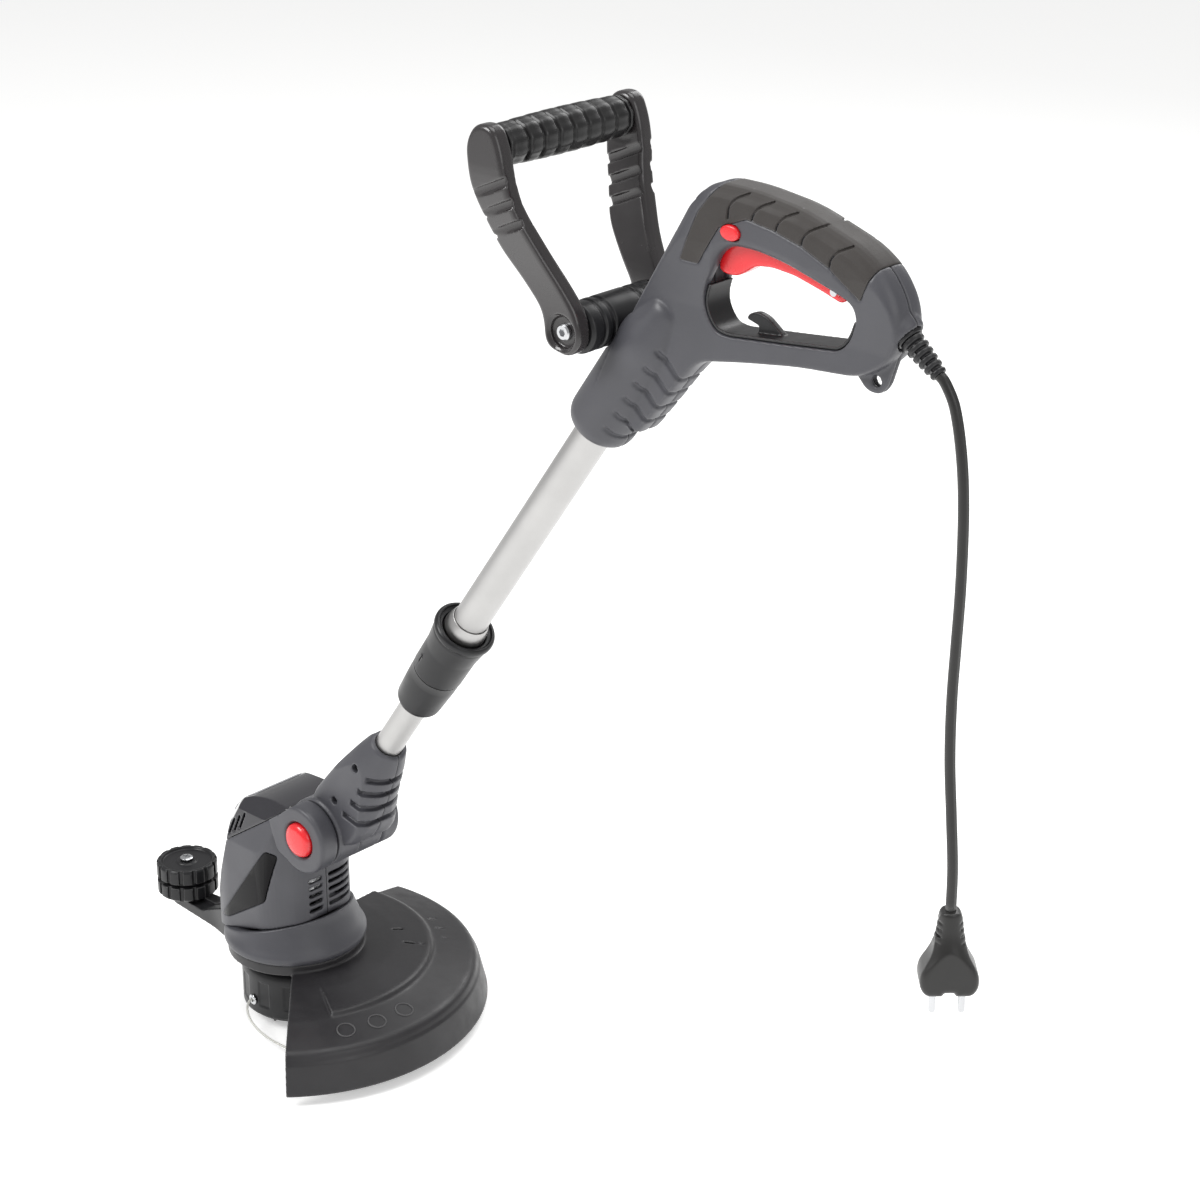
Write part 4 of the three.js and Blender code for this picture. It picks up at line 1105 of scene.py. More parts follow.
    def cap(self) -> None:
        """Build the glossy top cap with its slots and its raised matt window."""
        inner = self._body(self.wall).keep(Solid.block((-80, 20), (-60, 60), (60, 260)))
        cap = self._body().keep(through(self.cap_zone)).cut(inner, *self._swing_room())
        cap.cut(*self._cap_slots())
        line = Solid.block((8.5, 9.3), (-60, 60), (150, 230))
        cap.cut(line.cut(self._body(0.7)))
        deliver(cap.cast(0.7, 3), "top_cap_moulded", "motor_head", CAP_GLOSS, ["top_cap"])

        window = [(-44, -27), (-13, -27), (-13, 27), (-44, 27)]
        patch = Solid.prism(rounded(window, 5), 150, 230, axis=Axis.UP)
        patch.keep(self._body(-0.35)).cut(self._body(0.6))
        patch.keep(Solid.block((-60, 60), (-60, 60), (176, 260)))
        deliver(patch.cast(0.5, 2), "top_cap_window", "motor_head", TRIM_GREY)

    def _cap_slots(self) -> list[Solid]:
        """Give the upright air slots in both sides of the cap, just over its lower edge."""
        slots = []
        for i in range(5):
            x = -37 + 5.4 * i
            low = 153 + 0.69 * (x + 42)
            corners = [(x, low), (x + 2.6, low + 1.6), (x + 5.8, low + 15), (x + 3.2, low + 14)]
            slots.append(through(corners))
        return slots

    def badges(self) -> None:
        """Build the two blank lacquered badges."""
        skin = through(rounded(self.badge, 2.5)).keep(self._body(-0.2)).cut(self._body(1.4))
        for name, side in (("badge_left", -1), ("badge_right", 1)):
            plate = skin.copy().keep(half_of(side)).chamfered(0.3)
            deliver(plate, f"{name}_lacquered", "motor_head", BADGE_BLACK, [name], 30)
        bpy.data.objects.remove(skin.obj)

    def base_ring(self) -> None:
        """Build the ring that closes the head below and carries the guard."""
        r, rim = self.ring_radius, self.rim
        outer = [(r - 4, rim), (r - 1.5, rim), (r, rim + 2.5), (r, 73), (r - 3.5, 79), (r - 7, 88),
                 (r - 10, 96), (r - 11.5, 104), (r - 11.5, 112)]
        inner = [(r - 15.5, 112), (r - 15.5, 104), (r - 14, 96), (r - 11, 88), (r - 9.5, 82), (5.5, 82),
                 (5.5, 78), (r - 8, 78), (r - 4, 74)]
        ring = Solid.turned(rounded(outer, 3, 4, closed=False) + inner, 144)
        ring.keep(self._below_seam(-GAP))
        deliver(ring.cast(0.8, 4), "base_ring_moulded", "motor_head", ABS_SHELL, ["base_ring"])

    def build(self) -> None:
        """Build the whole head."""
        self.shells()
        self.button()
        self.cap()
        self.badges()
        self.base_ring()
        for node in ("motor", "motor_bearing", "pivot_axle", "button_spring"):
            dress(node, STEEL)


# ------------------------------------------------------------------ guide wheel and guard
@dataclass
class GuideWheel:
    """The double edging wheel on its bracket in front of the head."""

    x: float = -138.0
    radius: float = 25.5
    bottom: float = 55.0
    top: float = 84.0
    bore: float = 4.3
    notches: int = 14

    def bracket(self) -> None:
        """Build the arm that carries the wheel."""
        x, foot = self.x, self.bottom - 12
        arm = [(x - 13, foot), (x - 13, self.bottom - 3), (x + 34, self.bottom - 3), (x + 54, 62),
               (-66, 71), (-59, 71), (-59, 50), (-70, foot)]
        plan = [(x - 13, -10), (x + 13, -12), (-86, -15), (-52, -23), (-52, 23), (-86, 15),
                (x + 13, 12), (x - 13, 10)]
        body = Solid.prism(rounded(arm, 4), -24, 24)
        body.keep(Solid.prism(rounded(plan, 9), 30, 90, axis=Axis.UP))
        rib = Solid.block((x + 16, -64), (-1.2, 1.2), (foot + 2, 70)).keep(
            Solid.prism(rounded(inset(arm, -1.2), 4), -24, 24))
        clearance = Solid.peg(58.3, 30, 90, 144)
        bolt = Solid.peg(self.bore, 30, 60, 48, Matrix.Translation((x, 0, 0)))
        body.add(rib).cut(clearance, bolt)
        deliver(body.cast(0.7, 4), "wheel_bracket_moulded", "motor_head", NYLON_BLACK,
                ["wheel_bracket"])

    def wheel(self) -> None:
        """Build the wheel with two notched treads and a groove between them."""
        r, low, high, bore = self.radius, self.bottom, self.top, self.bore + 0.4
        middle = (low + high) / 2
        profile = [(bore, low), (r - 2, low), (r, low + 2), (r, middle - 2), (r - 5, middle - 1.2),
                   (r - 5, middle + 1.2), (r, middle + 2), (r, high - 2), (r - 1.5, high),
                   (r - 4, high), (r - 5.5, high - 2.4), (9, high - 2.4), (8, high - 1.2),
                   (bore, high - 1.2)]
        place = Matrix.Translation((self.x, 0, 0))
        wheel = Solid.turned(profile, 112, place)
        cutters = []
        for i in range(self.notches):
            turn = place @ Matrix.Rotation(2 * math.pi * i / self.notches, 4, "Z")
            cutters.append(Solid.block((r - 2.3, r + 4), (-1.7, 1.7), (low - 2, high + 2), turn))
        wheel.cut(*cutters)
        deliver(wheel.cast(0.55, 2), "guide_wheel_moulded", "guide_wheel", NYLON_BLACK,
                ["guide_wheel"])

    def bolt(self) -> None:
        """Build the bright bolt that the wheel turns on, with a cross-slotted head."""
        high = self.top
        shank = self.bore - GAP
        profile = [(0, self.bottom - 14), (shank, self.bottom - 14), (shank, high + 0.2), (5.4, high + 0.2),
                   (5.4, high + 1), (4.2, high + 1.9), (0, high + 2.2)]
        place = Matrix.Translation((self.x, 0, 0))
        bolt = Solid.turned(profile, 64, place)
        for turn in (0.6, 0.6 + math.pi / 2):
            bolt.cut(Solid.block((-3, 3), (-0.6, 0.6), (high + 0.8, high + 6),
                                 place @ Matrix.Rotation(turn, 4, "Z")))
        deliver(bolt, "wheel_axle_turned", "motor_head", STEEL, ["wheel_axle"], 35)

    def build(self) -> None:
        """Build the wheel on its bracket."""
        self.bracket()
        self.wheel()
        self.bolt()


@dataclass
class Guard:
    """The guard: a dished part ring with a stepped band and a tall skirt."""

    start: float = -45.0
    step_start: float = -27.0
    end: float = 102.0
    ridge: float = 108.0
    crease: float = 147.0
    skirt: float = 155.5
    bottom: float = 8.0
    skin: float = 3.0
    top: float = 66.7
    ring_radius: float = 7.5
    ring_turns: tuple[float, ...] = (-24.0, -12.0, 0.0)
    screw_turns: tuple[float, ...] = (-10.0, 66.0)

    def shell(self) -> None:
        """Build the guard with its step, its skirt line, its slits and its fixing collar."""
        t, ridge, crease, skin = self.top, self.ridge, self.crease, self.skin
        profile = [(55.3, t - 6.8), (80, t - 9), (ridge - 5, t - 12.2), (ridge - 1.5, t - 12.6),
                   (ridge + 1.5, t - 13.4), (ridge + 4, t - 16.5), (crease - 4, t - 24.6),
                   (crease - 0.6, t - 27), (crease + 1, t - 31), (crease + 1.4, t - 32.4),
                   (crease + 2.6, t - 33.2), (self.skirt, self.bottom + 1), (self.skirt - 1, self.bottom),
                   (self.skirt - skin, self.bottom), (crease - skin + 1, t - 31), (crease - 6, t - 27.6),
                   (ridge + 3, t - 19.4), (ridge - 3, t - 16), (80, t - 12.4), (48, t - 10), (48, t - 7)]
        low_end = [(55.3, t - 6.8), (74, t - 9), (ridge - 10, t - 14.5), *profile[5:-3],
                   (ridge - 12, t - 18.5), (72, t - 12.6), (48, t - 10), (48, t - 7)]
        shell = Solid.swung(rounded(profile, 1.6, 3), self.step_start, self.end, 140)
        shell.add(Solid.swung(rounded(low_end, 1.6, 3), self.start, self.step_start + 0.2, 12))
        shell.cut(*self._slits())
        shell.add(Solid.turned([(47, t - 9), (55.2, t - 9), (55.2, t - 0.6), (54.6, t), (47, t)], 144))
        for turn in map(math.radians, self.screw_turns):
            shell.cut(Solid.peg(2.3, 40, 90, 32,
                                Matrix.Translation((51 * math.cos(turn), 51 * math.sin(turn), 0))))
        deliver(shell.cast(1.0, 2), "guard_moulded", "motor_head", PP_GUARD, ["guard"])

    def _slits(self) -> list[Solid]:
        """Give the two drain slits and the row of shallow notches near the far end."""
        slits = []
        for turn, reach, half, deep in ((44, 96, 9, 12), (58, 84, 5, 12), (62, 122, 5, 4.2),
                                        (70, 122, 5, 4.2), (54, 124, 4, 4.2)):
            slits.append(Solid.block((reach - half, reach + half), (-1.1, 1.1),
                                     (self.top - 16 - deep, self.top), spun(turn)))
        return slits

    def rings(self) -> None:
        """Build the three plain raised rings on the band."""
        r, middle = self.ring_radius, (self.ridge + self.crease) / 2
        slope = math.atan2(8.0, self.crease - self.ridge - 8)
        lying = Matrix.Translation((middle, 0, self.top - 20.4)) @ Matrix.Rotation(slope, 4, "Y")
        profile = [(r - 1, -0.8), (r, -0.8), (r, 0.35), (r - 0.3, 0.6), (r - 0.7, 0.6), (r - 1, 0.35)]
        rings = join(*(Solid.turned(profile, 64, spun(turn) @ lying) for turn in self.ring_turns))
        deliver(rings, "guard_band_rings", "motor_head", PP_GUARD)

    def build(self) -> None:
        """Build the guard with its screws and line cutter."""
        self.shell()
        self.rings()
        for node in ("guard_screw_1", "guard_screw_2", "line_cutter"):
            dress(node, STEEL)


# ------------------------------------------------------------------ line head
@dataclass
class LineHead:
    """The spinning spool housing with its spool, line, eyelets and bump knob."""

    radius: float = 45.0
    top: float = 53.0
    bottom: float = 10.0
    wall: float = 2.6
    eyelet: float = 22.0
    line: float = 1.0
    turns: tuple[float, float] = (-94.0, 86.0)

    def _port(self, turn: float, reach: float) -> Matrix:
        """Give the place of a line port, with Z out of the cup."""
        return spun(turn) @ Matrix.Translation((reach, 0, self.eyelet)) @ OUTWARD

    def housing(self) -> None:
        """Build the cup with its upright ribs and two line ports."""
        r, top, low, wall = self.radius, self.top, self.bottom, self.wall
        profile = [(4.3, top - 4), (r - 8, top - 4), (r - wall - 1, top - 8), (r - wall, low), (r, low),
                   (r, top - 10), (r - 1, top - 6), (r - 7, top), (10, top), (10, top + 10),
                   (4.3, top + 10)]
        cup = Solid.turned(rounded(profile, 2, 4), 144)
        for i in range(12):
            turn = spun(self.turns[0] + 15 + 30 * i)
            cup.cut(Solid.block((r - 0.9, r + 4), (-5.5, 5.5), (low + 8, top - 12), turn))
        for turn in self.turns:
            cup.cut(Solid.peg(3.4, -10, 10, 48, self._port(turn, r)))
        deliver(cup.cast(0.7, 3), "spool_housing_moulded", "cutting_head", NYLON_BLACK,
                ["spool_housing"])

    def spool(self) -> None:
        """Build the spool and the line wound on it, turn on turn."""
        flange = [(10, 15.5), (38, 15.5), (38, 18), (22, 18), (22, 42), (38, 42), (38, 44.5), (10, 44.5)]
        deliver(Solid.turned(rounded(flange, 0.6, 3), 96), "line_spool_moulded", "cutting_head",
                ABS_SHELL, ["line_spool"], 35)
        wound = [(22.4, 18.4)]
        count = 11
        pitch = 23.2 / count
        for turn in range(count):
            wound += arc((32.8, 18.4 + pitch * (turn + 0.5)), pitch / 2, -80, 80, 6)
        wound.append((22.4, 41.6))
        deliver(Solid.turned(wound, 96), "line_winding_wound", "cutting_head", NYLON_LINE,
                ["line_winding"], 60)

    def lines(self) -> None:
        """Build both eyelets and the free ends of the line, which droop and curl back."""
        route = [(-3, 0, 0), (4, 0, 0), (9, 3, -2.5), (13, 10, -6), (16, 22, -9), (17, 40, -11),
                 (14, 62, -12), (6, 85, -12), (-6, 104, -12)]
        ring = [(1.7, -2), (3, -2), (3, 1.2), (4.4, 1.2), (4.4, 2.2), (2.4, 3), (1.7, 2.6)]
        for i, turn in enumerate(self.turns, 1):
            eyelet = Solid.turned(rounded(ring, 0.5, 3), 48, self._port(turn, self.radius - 0.6))
            deliver(eyelet, f"eyelet_{i}_turned", "cutting_head", STEEL, [f"eyelet_{i}"], 50)
            points = [spun(turn) @ Vector((self.radius + out, side, self.eyelet + rise))
                      for out, side, rise in route]
            strand = Solid.swept(flowing(points, 6), arc((0, 0), self.line, 0, 330, 11))
            deliver(strand, f"cutting_line_{i}_extruded", "cutting_head", NYLON_LINE,
                    [f"cutting_line_{i}"], 60)

    def knob(self) -> None:
        """Build the bump knob with grip ribs round its underside."""
        outline = [(0, 0), (11, 0), (16, 1.5), (20, 4.5), (40, 6), (42, 8), (41.6, 9.6), (9.2, 9.6),
                   (9.2, 13), (0, 13)]
        knob = Solid.turned(rounded(outline, 1.2, 4, closed=False), 96)
        for i in range(10):
            knob.add(Solid.block((19, 39), (-1, 1), (3.6, 7), spun(36 * i)))
        deliver(knob.cast(0.7, 2), "bump_knob_moulded", "bump_knob", NYLON_BLACK, ["bump_knob"])

    def build(self) -> None:
        """Build the whole line head."""
        self.housing()
        self.spool()
        self.lines()
        self.knob()
        dress("motor_shaft", STEEL)
        dress("feed_spring", STEEL)


# ------------------------------------------------------------------ front handle
HANDLE_PIVOT = (350.0, 663.0)


@dataclass
class FrontHandle:
    """The swinging handle: two leaning arms, a ringed rubber grip and the pivot bolt."""

    x: float = HANDLE_PIVOT[0]
    z: float = HANDLE_PIVOT[1]
    barrel_half: float = 36.0
    arm_thick: float = 13.0
    grip_x: float = -47.0
    grip_z: float = 116.0
    grip_half: float = 58.0
    grip_radius: float = 15.6
    core: float = 7.5
    spread: float = 22.0
    rings: int = 8
    side: Outline = field(default_factory=lambda: [
        (16, -6), (14, 12), (-8, 46), (-25, 80), (-31, 116), (-38, 132), (-54, 132),
        (-63, 118), (-60, 88), (-46, 48), (-17, 10), (-15, -12), (6, -16)])
    bands: tuple[float, ...] = (66.0, 79.0, 92.0)
    band_tilt: float = -24.0

    def _lean(self, height: float) -> float:
        """Give how far an arm has leaned outwards at a height above the pivot."""
        t = min(1.0, max(0.0, (height - 8) / (self.grip_z - 18)))
        return self.spread * t * t * (3 - 2 * t)

    def _arm(self) -> Solid:
        """Shape the right arm round the pivot."""
        inner = self.barrel_half + GAP
        outer = inner + self.arm_thick
        blank = Solid.prism(rounded(self.side, 9), inner, outer, 3.5)
        mesh = bmesh.new()
        mesh.from_mesh(blank.obj.data)
        mesh.verts.ensure_lookup_table()
        for height in range(-10, 130, 5):
            geometry = mesh.verts[:] + mesh.edges[:] + mesh.faces[:]
            bmesh.ops.bisect_plane(mesh, geom=geometry, plane_co=(0, 0, height), plane_no=(0, 0, 1))
        bmesh.ops.triangulate(mesh, faces=mesh.faces)
        mesh.to_mesh(blank.obj.data)
        mesh.free()
        for vert in blank.obj.data.vertices:
            vert.co.y += self._lean(vert.co.z)
        tilt = Matrix.Rotation(math.radians(self.band_tilt), 4, "Y")
        for height in self.bands:
            low, high = (edge + self._lean(height) for edge in (inner, outer))
            place = Matrix.Translation((-41 + (92 - height) * 0.36, 0, height)) @ tilt
            for across in ((low - 4, low + 2), (high - 2, high + 6)):
                blank.cut(Solid.block((-40, 40), across, (-3, 3), place))
            for middle in (-18.5, 18.5):
                blank.cut(Solid.block((middle - 3.5, middle + 3.5), (low + 3, high - 3), (-3, 3), place))
        blank.cut(Solid.rod(4.3, 0, 0, (0, 100)), Solid.rod(10.6, 0, 0, (outer - 5, 100)),
                  Solid.rod(12.6, 0, 0, (outer - 1.6, 100)),
                  Solid.rod(self.core + GAP, self.grip_x, self.grip_z, (0, self.grip_half + 7)),
                  Solid.rod(self.grip_radius + 2, self.grip_x, self.grip_z, (0, self.grip_half + GAP)))
        return blank.cast(0.8, 3)

    def arms(self) -> None:
        """Build both arms, the left one mirrored."""
        place = Matrix.Translation((self.x, 0, self.z))
        right = self._arm()
        left = right.copy().moved(Matrix.Scale(-1, 4, (0, 1, 0)))
        for name, arm in (("aux_arm_left", left), ("aux_arm_right", right)):
            deliver(arm.moved(place), f"{name}_moulded", "aux_handle", NYLON_GLOSS, [name])

    def grip(self) -> None:
        """Build the rubber grip with its rings, drawn in towards both ends, and its core."""
        place = Matrix.Translation((self.x + self.grip_x, 0, self.z + self.grip_z)) @ LEFTWARD
        half = self.grip_half
        pitch = (2 * half - 8) / self.rings
        profile = [(self.core + GAP, -half + 0.6), (self.grip_radius - 2, -half + 0.6),
                   (self.grip_radius - 1.4, -half + 3.6)]
        for i in range(self.rings):
            start = -half + 4 + i * pitch
            swell = self.grip_radius - 1.4 * (2 * (i + 0.5) / self.rings - 1) ** 2
            profile += [(swell - 2.4, start), (swell - 2.4, start + 1.2), (swell - 0.4, start + 2.4),
                        (swell, start + pitch / 2), (swell - 0.4, start + pitch - 1.2)]
        profile += [(self.grip_radius - 1.4, half - 3.6), (self.grip_radius - 2, half - 0.6),
                    (self.core + GAP, half - 0.6)]
        sleeve = Solid.turned(rounded(profile, 1.6, 4), 120, place, wave=0.5, waves=10)
        deliver(sleeve, "aux_grip_sleeve", "aux_handle", GRIP_SLEEVE, ["aux_grip"], 60)
        bar = Solid.peg(self.core, -half - 6, half + 6, 48, place)
        deliver(bar, "aux_crossbar_moulded", "aux_handle", NYLON_BLACK, ["aux_crossbar"], 40)

    def pivot(self) -> None:
        """Build the ringed barrel of the housing, and the bolt and nut through it."""
        upright = Matrix.Translation((self.x, 0, self.z)) @ Matrix.Rotation(-math.pi / 2, 4, "X")
        radius, half = 17.2, self.barrel_half
        profile = [(4.4, -half), (radius - 2, -half)]
        for way in (-1, 1):
            near = [(radius, 5), (radius, 13), (radius - 1.6, 14), (radius - 1.6, 17), (radius, 18),
                    (radius, 22), (radius - 1.2, 23), (radius - 1.2, 25), (radius, 26), (radius, half - 2)]
            profile += [(r, way * h) for r, h in (reversed(near) if way < 0 else near)]
        profile += [(radius - 2, half), (4.4, half)]
        barrel = Solid.turned(rounded(profile, 0.8, 3), 96, upright)
        deliver(barrel, "aux_barrel_moulded", "handle", NYLON_BLACK, ["aux_barrel"], 40)
        reach = half + GAP + self.arm_thick - 5
        profile = [(0, -reach - 3.4), (4.6, -reach - 3.4), (5.6, -reach - 2.4), (5.6, -reach - GAP),
                   (4, -reach - GAP), (4, reach + 3.6), (0, reach + 3.6)]
        bolt = Solid.turned(profile, 64, upright)
        socket = arc((0, 0), 2.8, 0, 300, 5)
        bolt.cut(Solid.prism(socket, -reach - 6, -reach - 1.2, axis=Axis.UP, place=upright))
        deliver(bolt, "aux_bolt_turned", "aux_handle", STEEL, ["aux_bolt"], 35)
        hexagon = arc((0, 0), 7.4, 0, 300, 5)
        nut = Solid.prism(hexagon, reach + GAP, reach + 3.4, axis=Axis.UP, place=upright)
        nut.chamfered(0.5).cut(Solid.peg(4.6, reach - 2, reach + 6, 48, upright))
        deliver(nut, "aux_nut_plated", "aux_handle", STEEL, ["aux_nut"], 35)

    def build(self) -> None:
        """Build the whole handle."""
        self.arms()
        self.grip()
        self.pivot()


# ------------------------------------------------------------------ rear housing
@dataclass
class RearHousing:
    """The two housing halves with the rubber saddle, loop lining, front strip and controls."""

    half_width: float = 17.0
    edge: float = 10.5
    mouth_edge: float = 6.0
    sleeve: float = 24.0
    sleeve_from: float = 486.0
    sleeve_to: float = 576.0
    skin: float = 1.8
    side: Outline = field(default_factory=lambda: [
        (377, 586), (404, 618), (420, 638), (434, 653), (470, 660), (514, 667), (562, 671),
        (583, 684), (593, 702), (590, 722), (578, 740), (560, 752), (514, 767), (474, 772),
        (444, 772), (428, 760), (416, 740), (352, 634)])
    rear: Outline = field(default_factory=lambda: [
        (-12, 500), (-12, 690), (-17.5, 738), (-17.5, 800), (17.5, 800), (17.5, 738), (12, 690), (12, 500)])
    loop: Outline = field(default_factory=lambda: [
        (447, 716), (441, 706), (438.5, 695), (441, 686), (448, 677), (458, 675.5), (500, 680),
        (547, 685.5), (555, 694), (560, 708), (557, 716), (549, 719.5), (528, 725.5), (506, 731.5),
        (484, 735), (463, 735), (452, 728)])
    saddle: Outline = field(default_factory=lambda: [
        (456, 800), (451, 770), (437, 753), (421, 719), (436, 719), (454, 746), (476, 755),
        (497, 752), (520, 746), (541, 737), (564, 721), (574, 742), (615, 800)])
    lug: Outline = field(default_factory=lambda: [
        (551, 674), (562, 661.5), (573, 661.5), (578, 668), (585, 690), (566, 690)])
    lug_hole: Point = (569.5, 669.5)
    strip: tuple[Point, Point] = ((357, 642.3), (412, 733.4))
    hook: Outline = field(default_factory=lambda: [
        (497, 681), (475, 678.6), (477, 684), (466, 687), (468, 690.5), (475, 693), (483, 691), (490, 686)])
    trigger_side: Outline = field(default_factory=lambda: [
        (446, 716), (450, 713.5), (460, 713.5), (468, 718), (475, 723), (488, 724.6), (506, 723),
        (528, 717.4), (543, 712.8), (548, 717), (548, 724), (538, 728), (506, 732), (484, 735.5),
        (465, 738.5), (453, 737.5), (446, 731)])
    trigger_pivot: Point = (541.0, 721.0)
    trigger_slot: float = 7.2
    barrel_seat: float = 17.6
    screw_wells: Outline = field(default_factory=lambda: [
        (418, 700), (452, 752), (570, 735), (560, 681), (395, 640)])
    lock_off: tuple[float, float, float, float] = (464.0, 744.5, 7.5, 5.0)
    exit: Point = (588.6, 702.2)
    exit_turn: float = -38.0

    def exit_place(self) -> Matrix:
        """Give the place of the cable exit, with Z along the lead."""
        turn = math.pi / 2 - math.radians(self.exit_turn)
        return Matrix.Translation((self.exit[0], 0, self.exit[1])) @ Matrix.Rotation(turn, 4, "Y")

    def _body(self, shrink: float = 0.0) -> Solid:
        """Shape the housing with its loop open, or its core when shrunk."""
        half, r = self.half_width - shrink, self.sleeve - shrink
        start = self.sleeve_from + shrink
        end = self.sleeve_to + 34 - shrink
        body = Solid.prism(rounded(inset(self.side, shrink), 12), -half, half, self.edge)
        body.keep(end_on(inset(self.rear, shrink)))
        socket = [(0, start), (r - 8, start), (r - 2, start + 3), (r, start + 9), (r, self.sleeve_to),
                  (r - 9, end), (0, end)]
        body.add(Solid.turned(rounded(socket, 7, 6, closed=False), 120, SHAFT))
        opening = rounded(inset(self.loop, -shrink - GAP), 7)
        return body.cut(Solid.waisted(opening, half, self.mouth_edge))

    def _finger_grooves(self) -> Solid:
        """Give the creases between the finger rests under the sleeve, as one tool."""
        creases = []
        for i in range(6):
            low = 503 + 15 * i
            line = [SHAFT @ Vector((reach, 0, low + rise))
                    for reach, rise in ((13, 5), (18, 2), (26, 0), (48, -3))]
            creases.append(band(flowing(line, 5), 3.2))
        return join(*creases).cut(self._body(1.8))

    def _grip_lines(self) -> Solid:
        """Give the curved lines sunk into both sides of the rubber saddle, as one tool."""
        lines = []
        for x, top in ((468, 770), (487, 768), (506, 765), (526, 760.5), (548, 752)):
            line = [Vector((x + 7, 0, top)), Vector((x - 1, 0, top - 4)), Vector((x - 6, 0, top - 10)),
                    Vector((x - 7, 0, top - 18))]
            lines.append(band(flowing(line, 5), 1.7))
        return join(*lines).cut(self._body(1.1))

    def _strip_zone(self, above: float, below: float, half: float, reach: float = 0.0) -> Solid:
        """Give the space along the front edge, from above it to below it."""
        low, high = (Vector(p) for p in self.strip)
        along = (high - low).normalized()
        inward = Vector((along.y, -along.x))
        corners = [low - inward * above - along * reach, high - inward * above + along * reach,
                   high + inward * below + along * reach, low + inward * below - along * reach]
        return through([tuple(c) for c in corners], half)

    def _lock_off(self, grow: float, low: float, high: float, edge: float = 0.0) -> Solid:
        """Give the oval of the lock-off button between two widths."""
        x, z, long, tall = self.lock_off
        turn = [2 * math.pi * i / 48 for i in range(48)]
        oval = [(x + (long + grow) * math.cos(a), z + (tall + grow) * math.sin(a)) for a in turn]
        return Solid.prism(oval, low, high, edge)

    def _panel_line(self) -> Solid:
        """Give the fine line that parts the front band from both sides, as one tool."""
        points = ((355, 622), (378, 678), (398, 712), (415, 744), (437, 766), (452, 790))
        return band(flowing([Vector((x, 0, z)) for x, z in points], 5), 1.5).cut(self._body(0.9))

    def shells(self) -> None:
        """Build the two housing halves."""
        body = self._body()
        core = self._body(self.skin)
        body.cut(through(inset(self.saddle, -GAP), 60).cut(core))
        lug = Solid.prism(rounded(self.lug, 6), -3.4, 3.4, 1.2)
        body.add(lug)
        exit_place = self.exit_place()
        boss = [(0, -16), (14, -16), (12.6, -2), (11, 2.6), (0, 2.6)]
        body.add(Solid.turned(rounded(boss, 2, 4, closed=False), 64, exit_place))
        body.cut(
            self._finger_grooves(), self._panel_line(),
            Solid.peg(13.3, 300, 602, 96, SHAFT),
            Solid.peg(5.6, -60, 40, 48, exit_place),
            Solid.peg(9.6, 0.8, 30, 64, exit_place),
            Solid.rod(2.8, *self.trigger_pivot, (-12.1, 12.1)),
            Solid.rod(3.6, *self.lug_hole, (-60, 60)),
            Solid.rod(self.barrel_seat, *HANDLE_PIVOT, (-60, 60)),
            Solid.block((438, 550), (-self.trigger_slot, self.trigger_slot), (704, 742)),
            self._strip_zone(6, 2.2, 8.4, GAP),
            self._lock_off(0.4, -60, 0),
        )
        for name, side in (("housing_left", -1), ("housing_right", 1)):
            part = body.copy().keep(half_of(side))
            if side > 0:
                part.cut(*(Solid.rod(3.4, x, z, (12, 60), 32) for x, z in self.screw_wells))
            deliver(part.cast(1.0, 5), f"{name}_moulded", "handle", ABS_SHELL, [name])
        bpy.data.objects.remove(body.obj)

    def soft_grip(self) -> None:
        """Build the rubber saddle with its curved finger lines."""
        saddle = self._body().keep(through(self.saddle, 60))
        saddle.cut(self._body(self.skin - GAP), self._lock_off(0.4, -60, 0), self._grip_lines())
        deliver(saddle.cast(0.55, 2), "soft_grip_overmoulded", "handle", SOFT_GRIP, ["soft_grip"])

    def trim(self) -> None:
        """Build the front strip, and the loop's lining with its cord hook."""
        strip = self._strip_zone(0.8, 1.8, 8)
        strip.cut(Solid.rod(self.barrel_seat, *HANDLE_PIVOT, (-60, 60)))
        deliver(strip.chamfered(0.6, 3), "edge_strip_moulded", "handle", TRIM_GREY,
                ["edge_strip"], 40)
        lining = Solid.prism(rounded(self.loop, 7), -11, 11, 1)
        lining.cut(Solid.prism(rounded(inset(self.loop, 2), 6), -60, 60),
                   Solid.block((400, 600), (-60, 60), (706, 800)))
        lining.add(Solid.prism(rounded(self.hook, 3), -2.6, 2.6, 0.8))
        deliver(lining.cast(0.6, 2), "loop_liner_moulded", "handle", NYLON_BLACK, ["loop_liner"])

    def controls(self) -> None:
        """Build the trigger and the lock-off button."""
        blade = Solid.prism(rounded(self.trigger_side, 4), -6.5, 6.5, 2)
        blade.cut(Solid.rod(2.8, *self.trigger_pivot, (-20, 20)))
        deliver(blade.cast(0.6, 3), "trigger_moulded", "trigger", ABS_RED, ["trigger"])
        knob = self._lock_off(0, -self.half_width - 2, -10.5, 1.4)
        deliver(knob, "lock_off_moulded", "lock_off", ABS_RED, ["lock_off_button"], 60)
        dress("trigger_pin", STEEL)
        dress("switch_box", NYLON_BLACK)

    def build(self) -> None:
        """Build the whole housing."""
        self.shells()
        self.soft_grip()
        self.trim()
        self.controls()


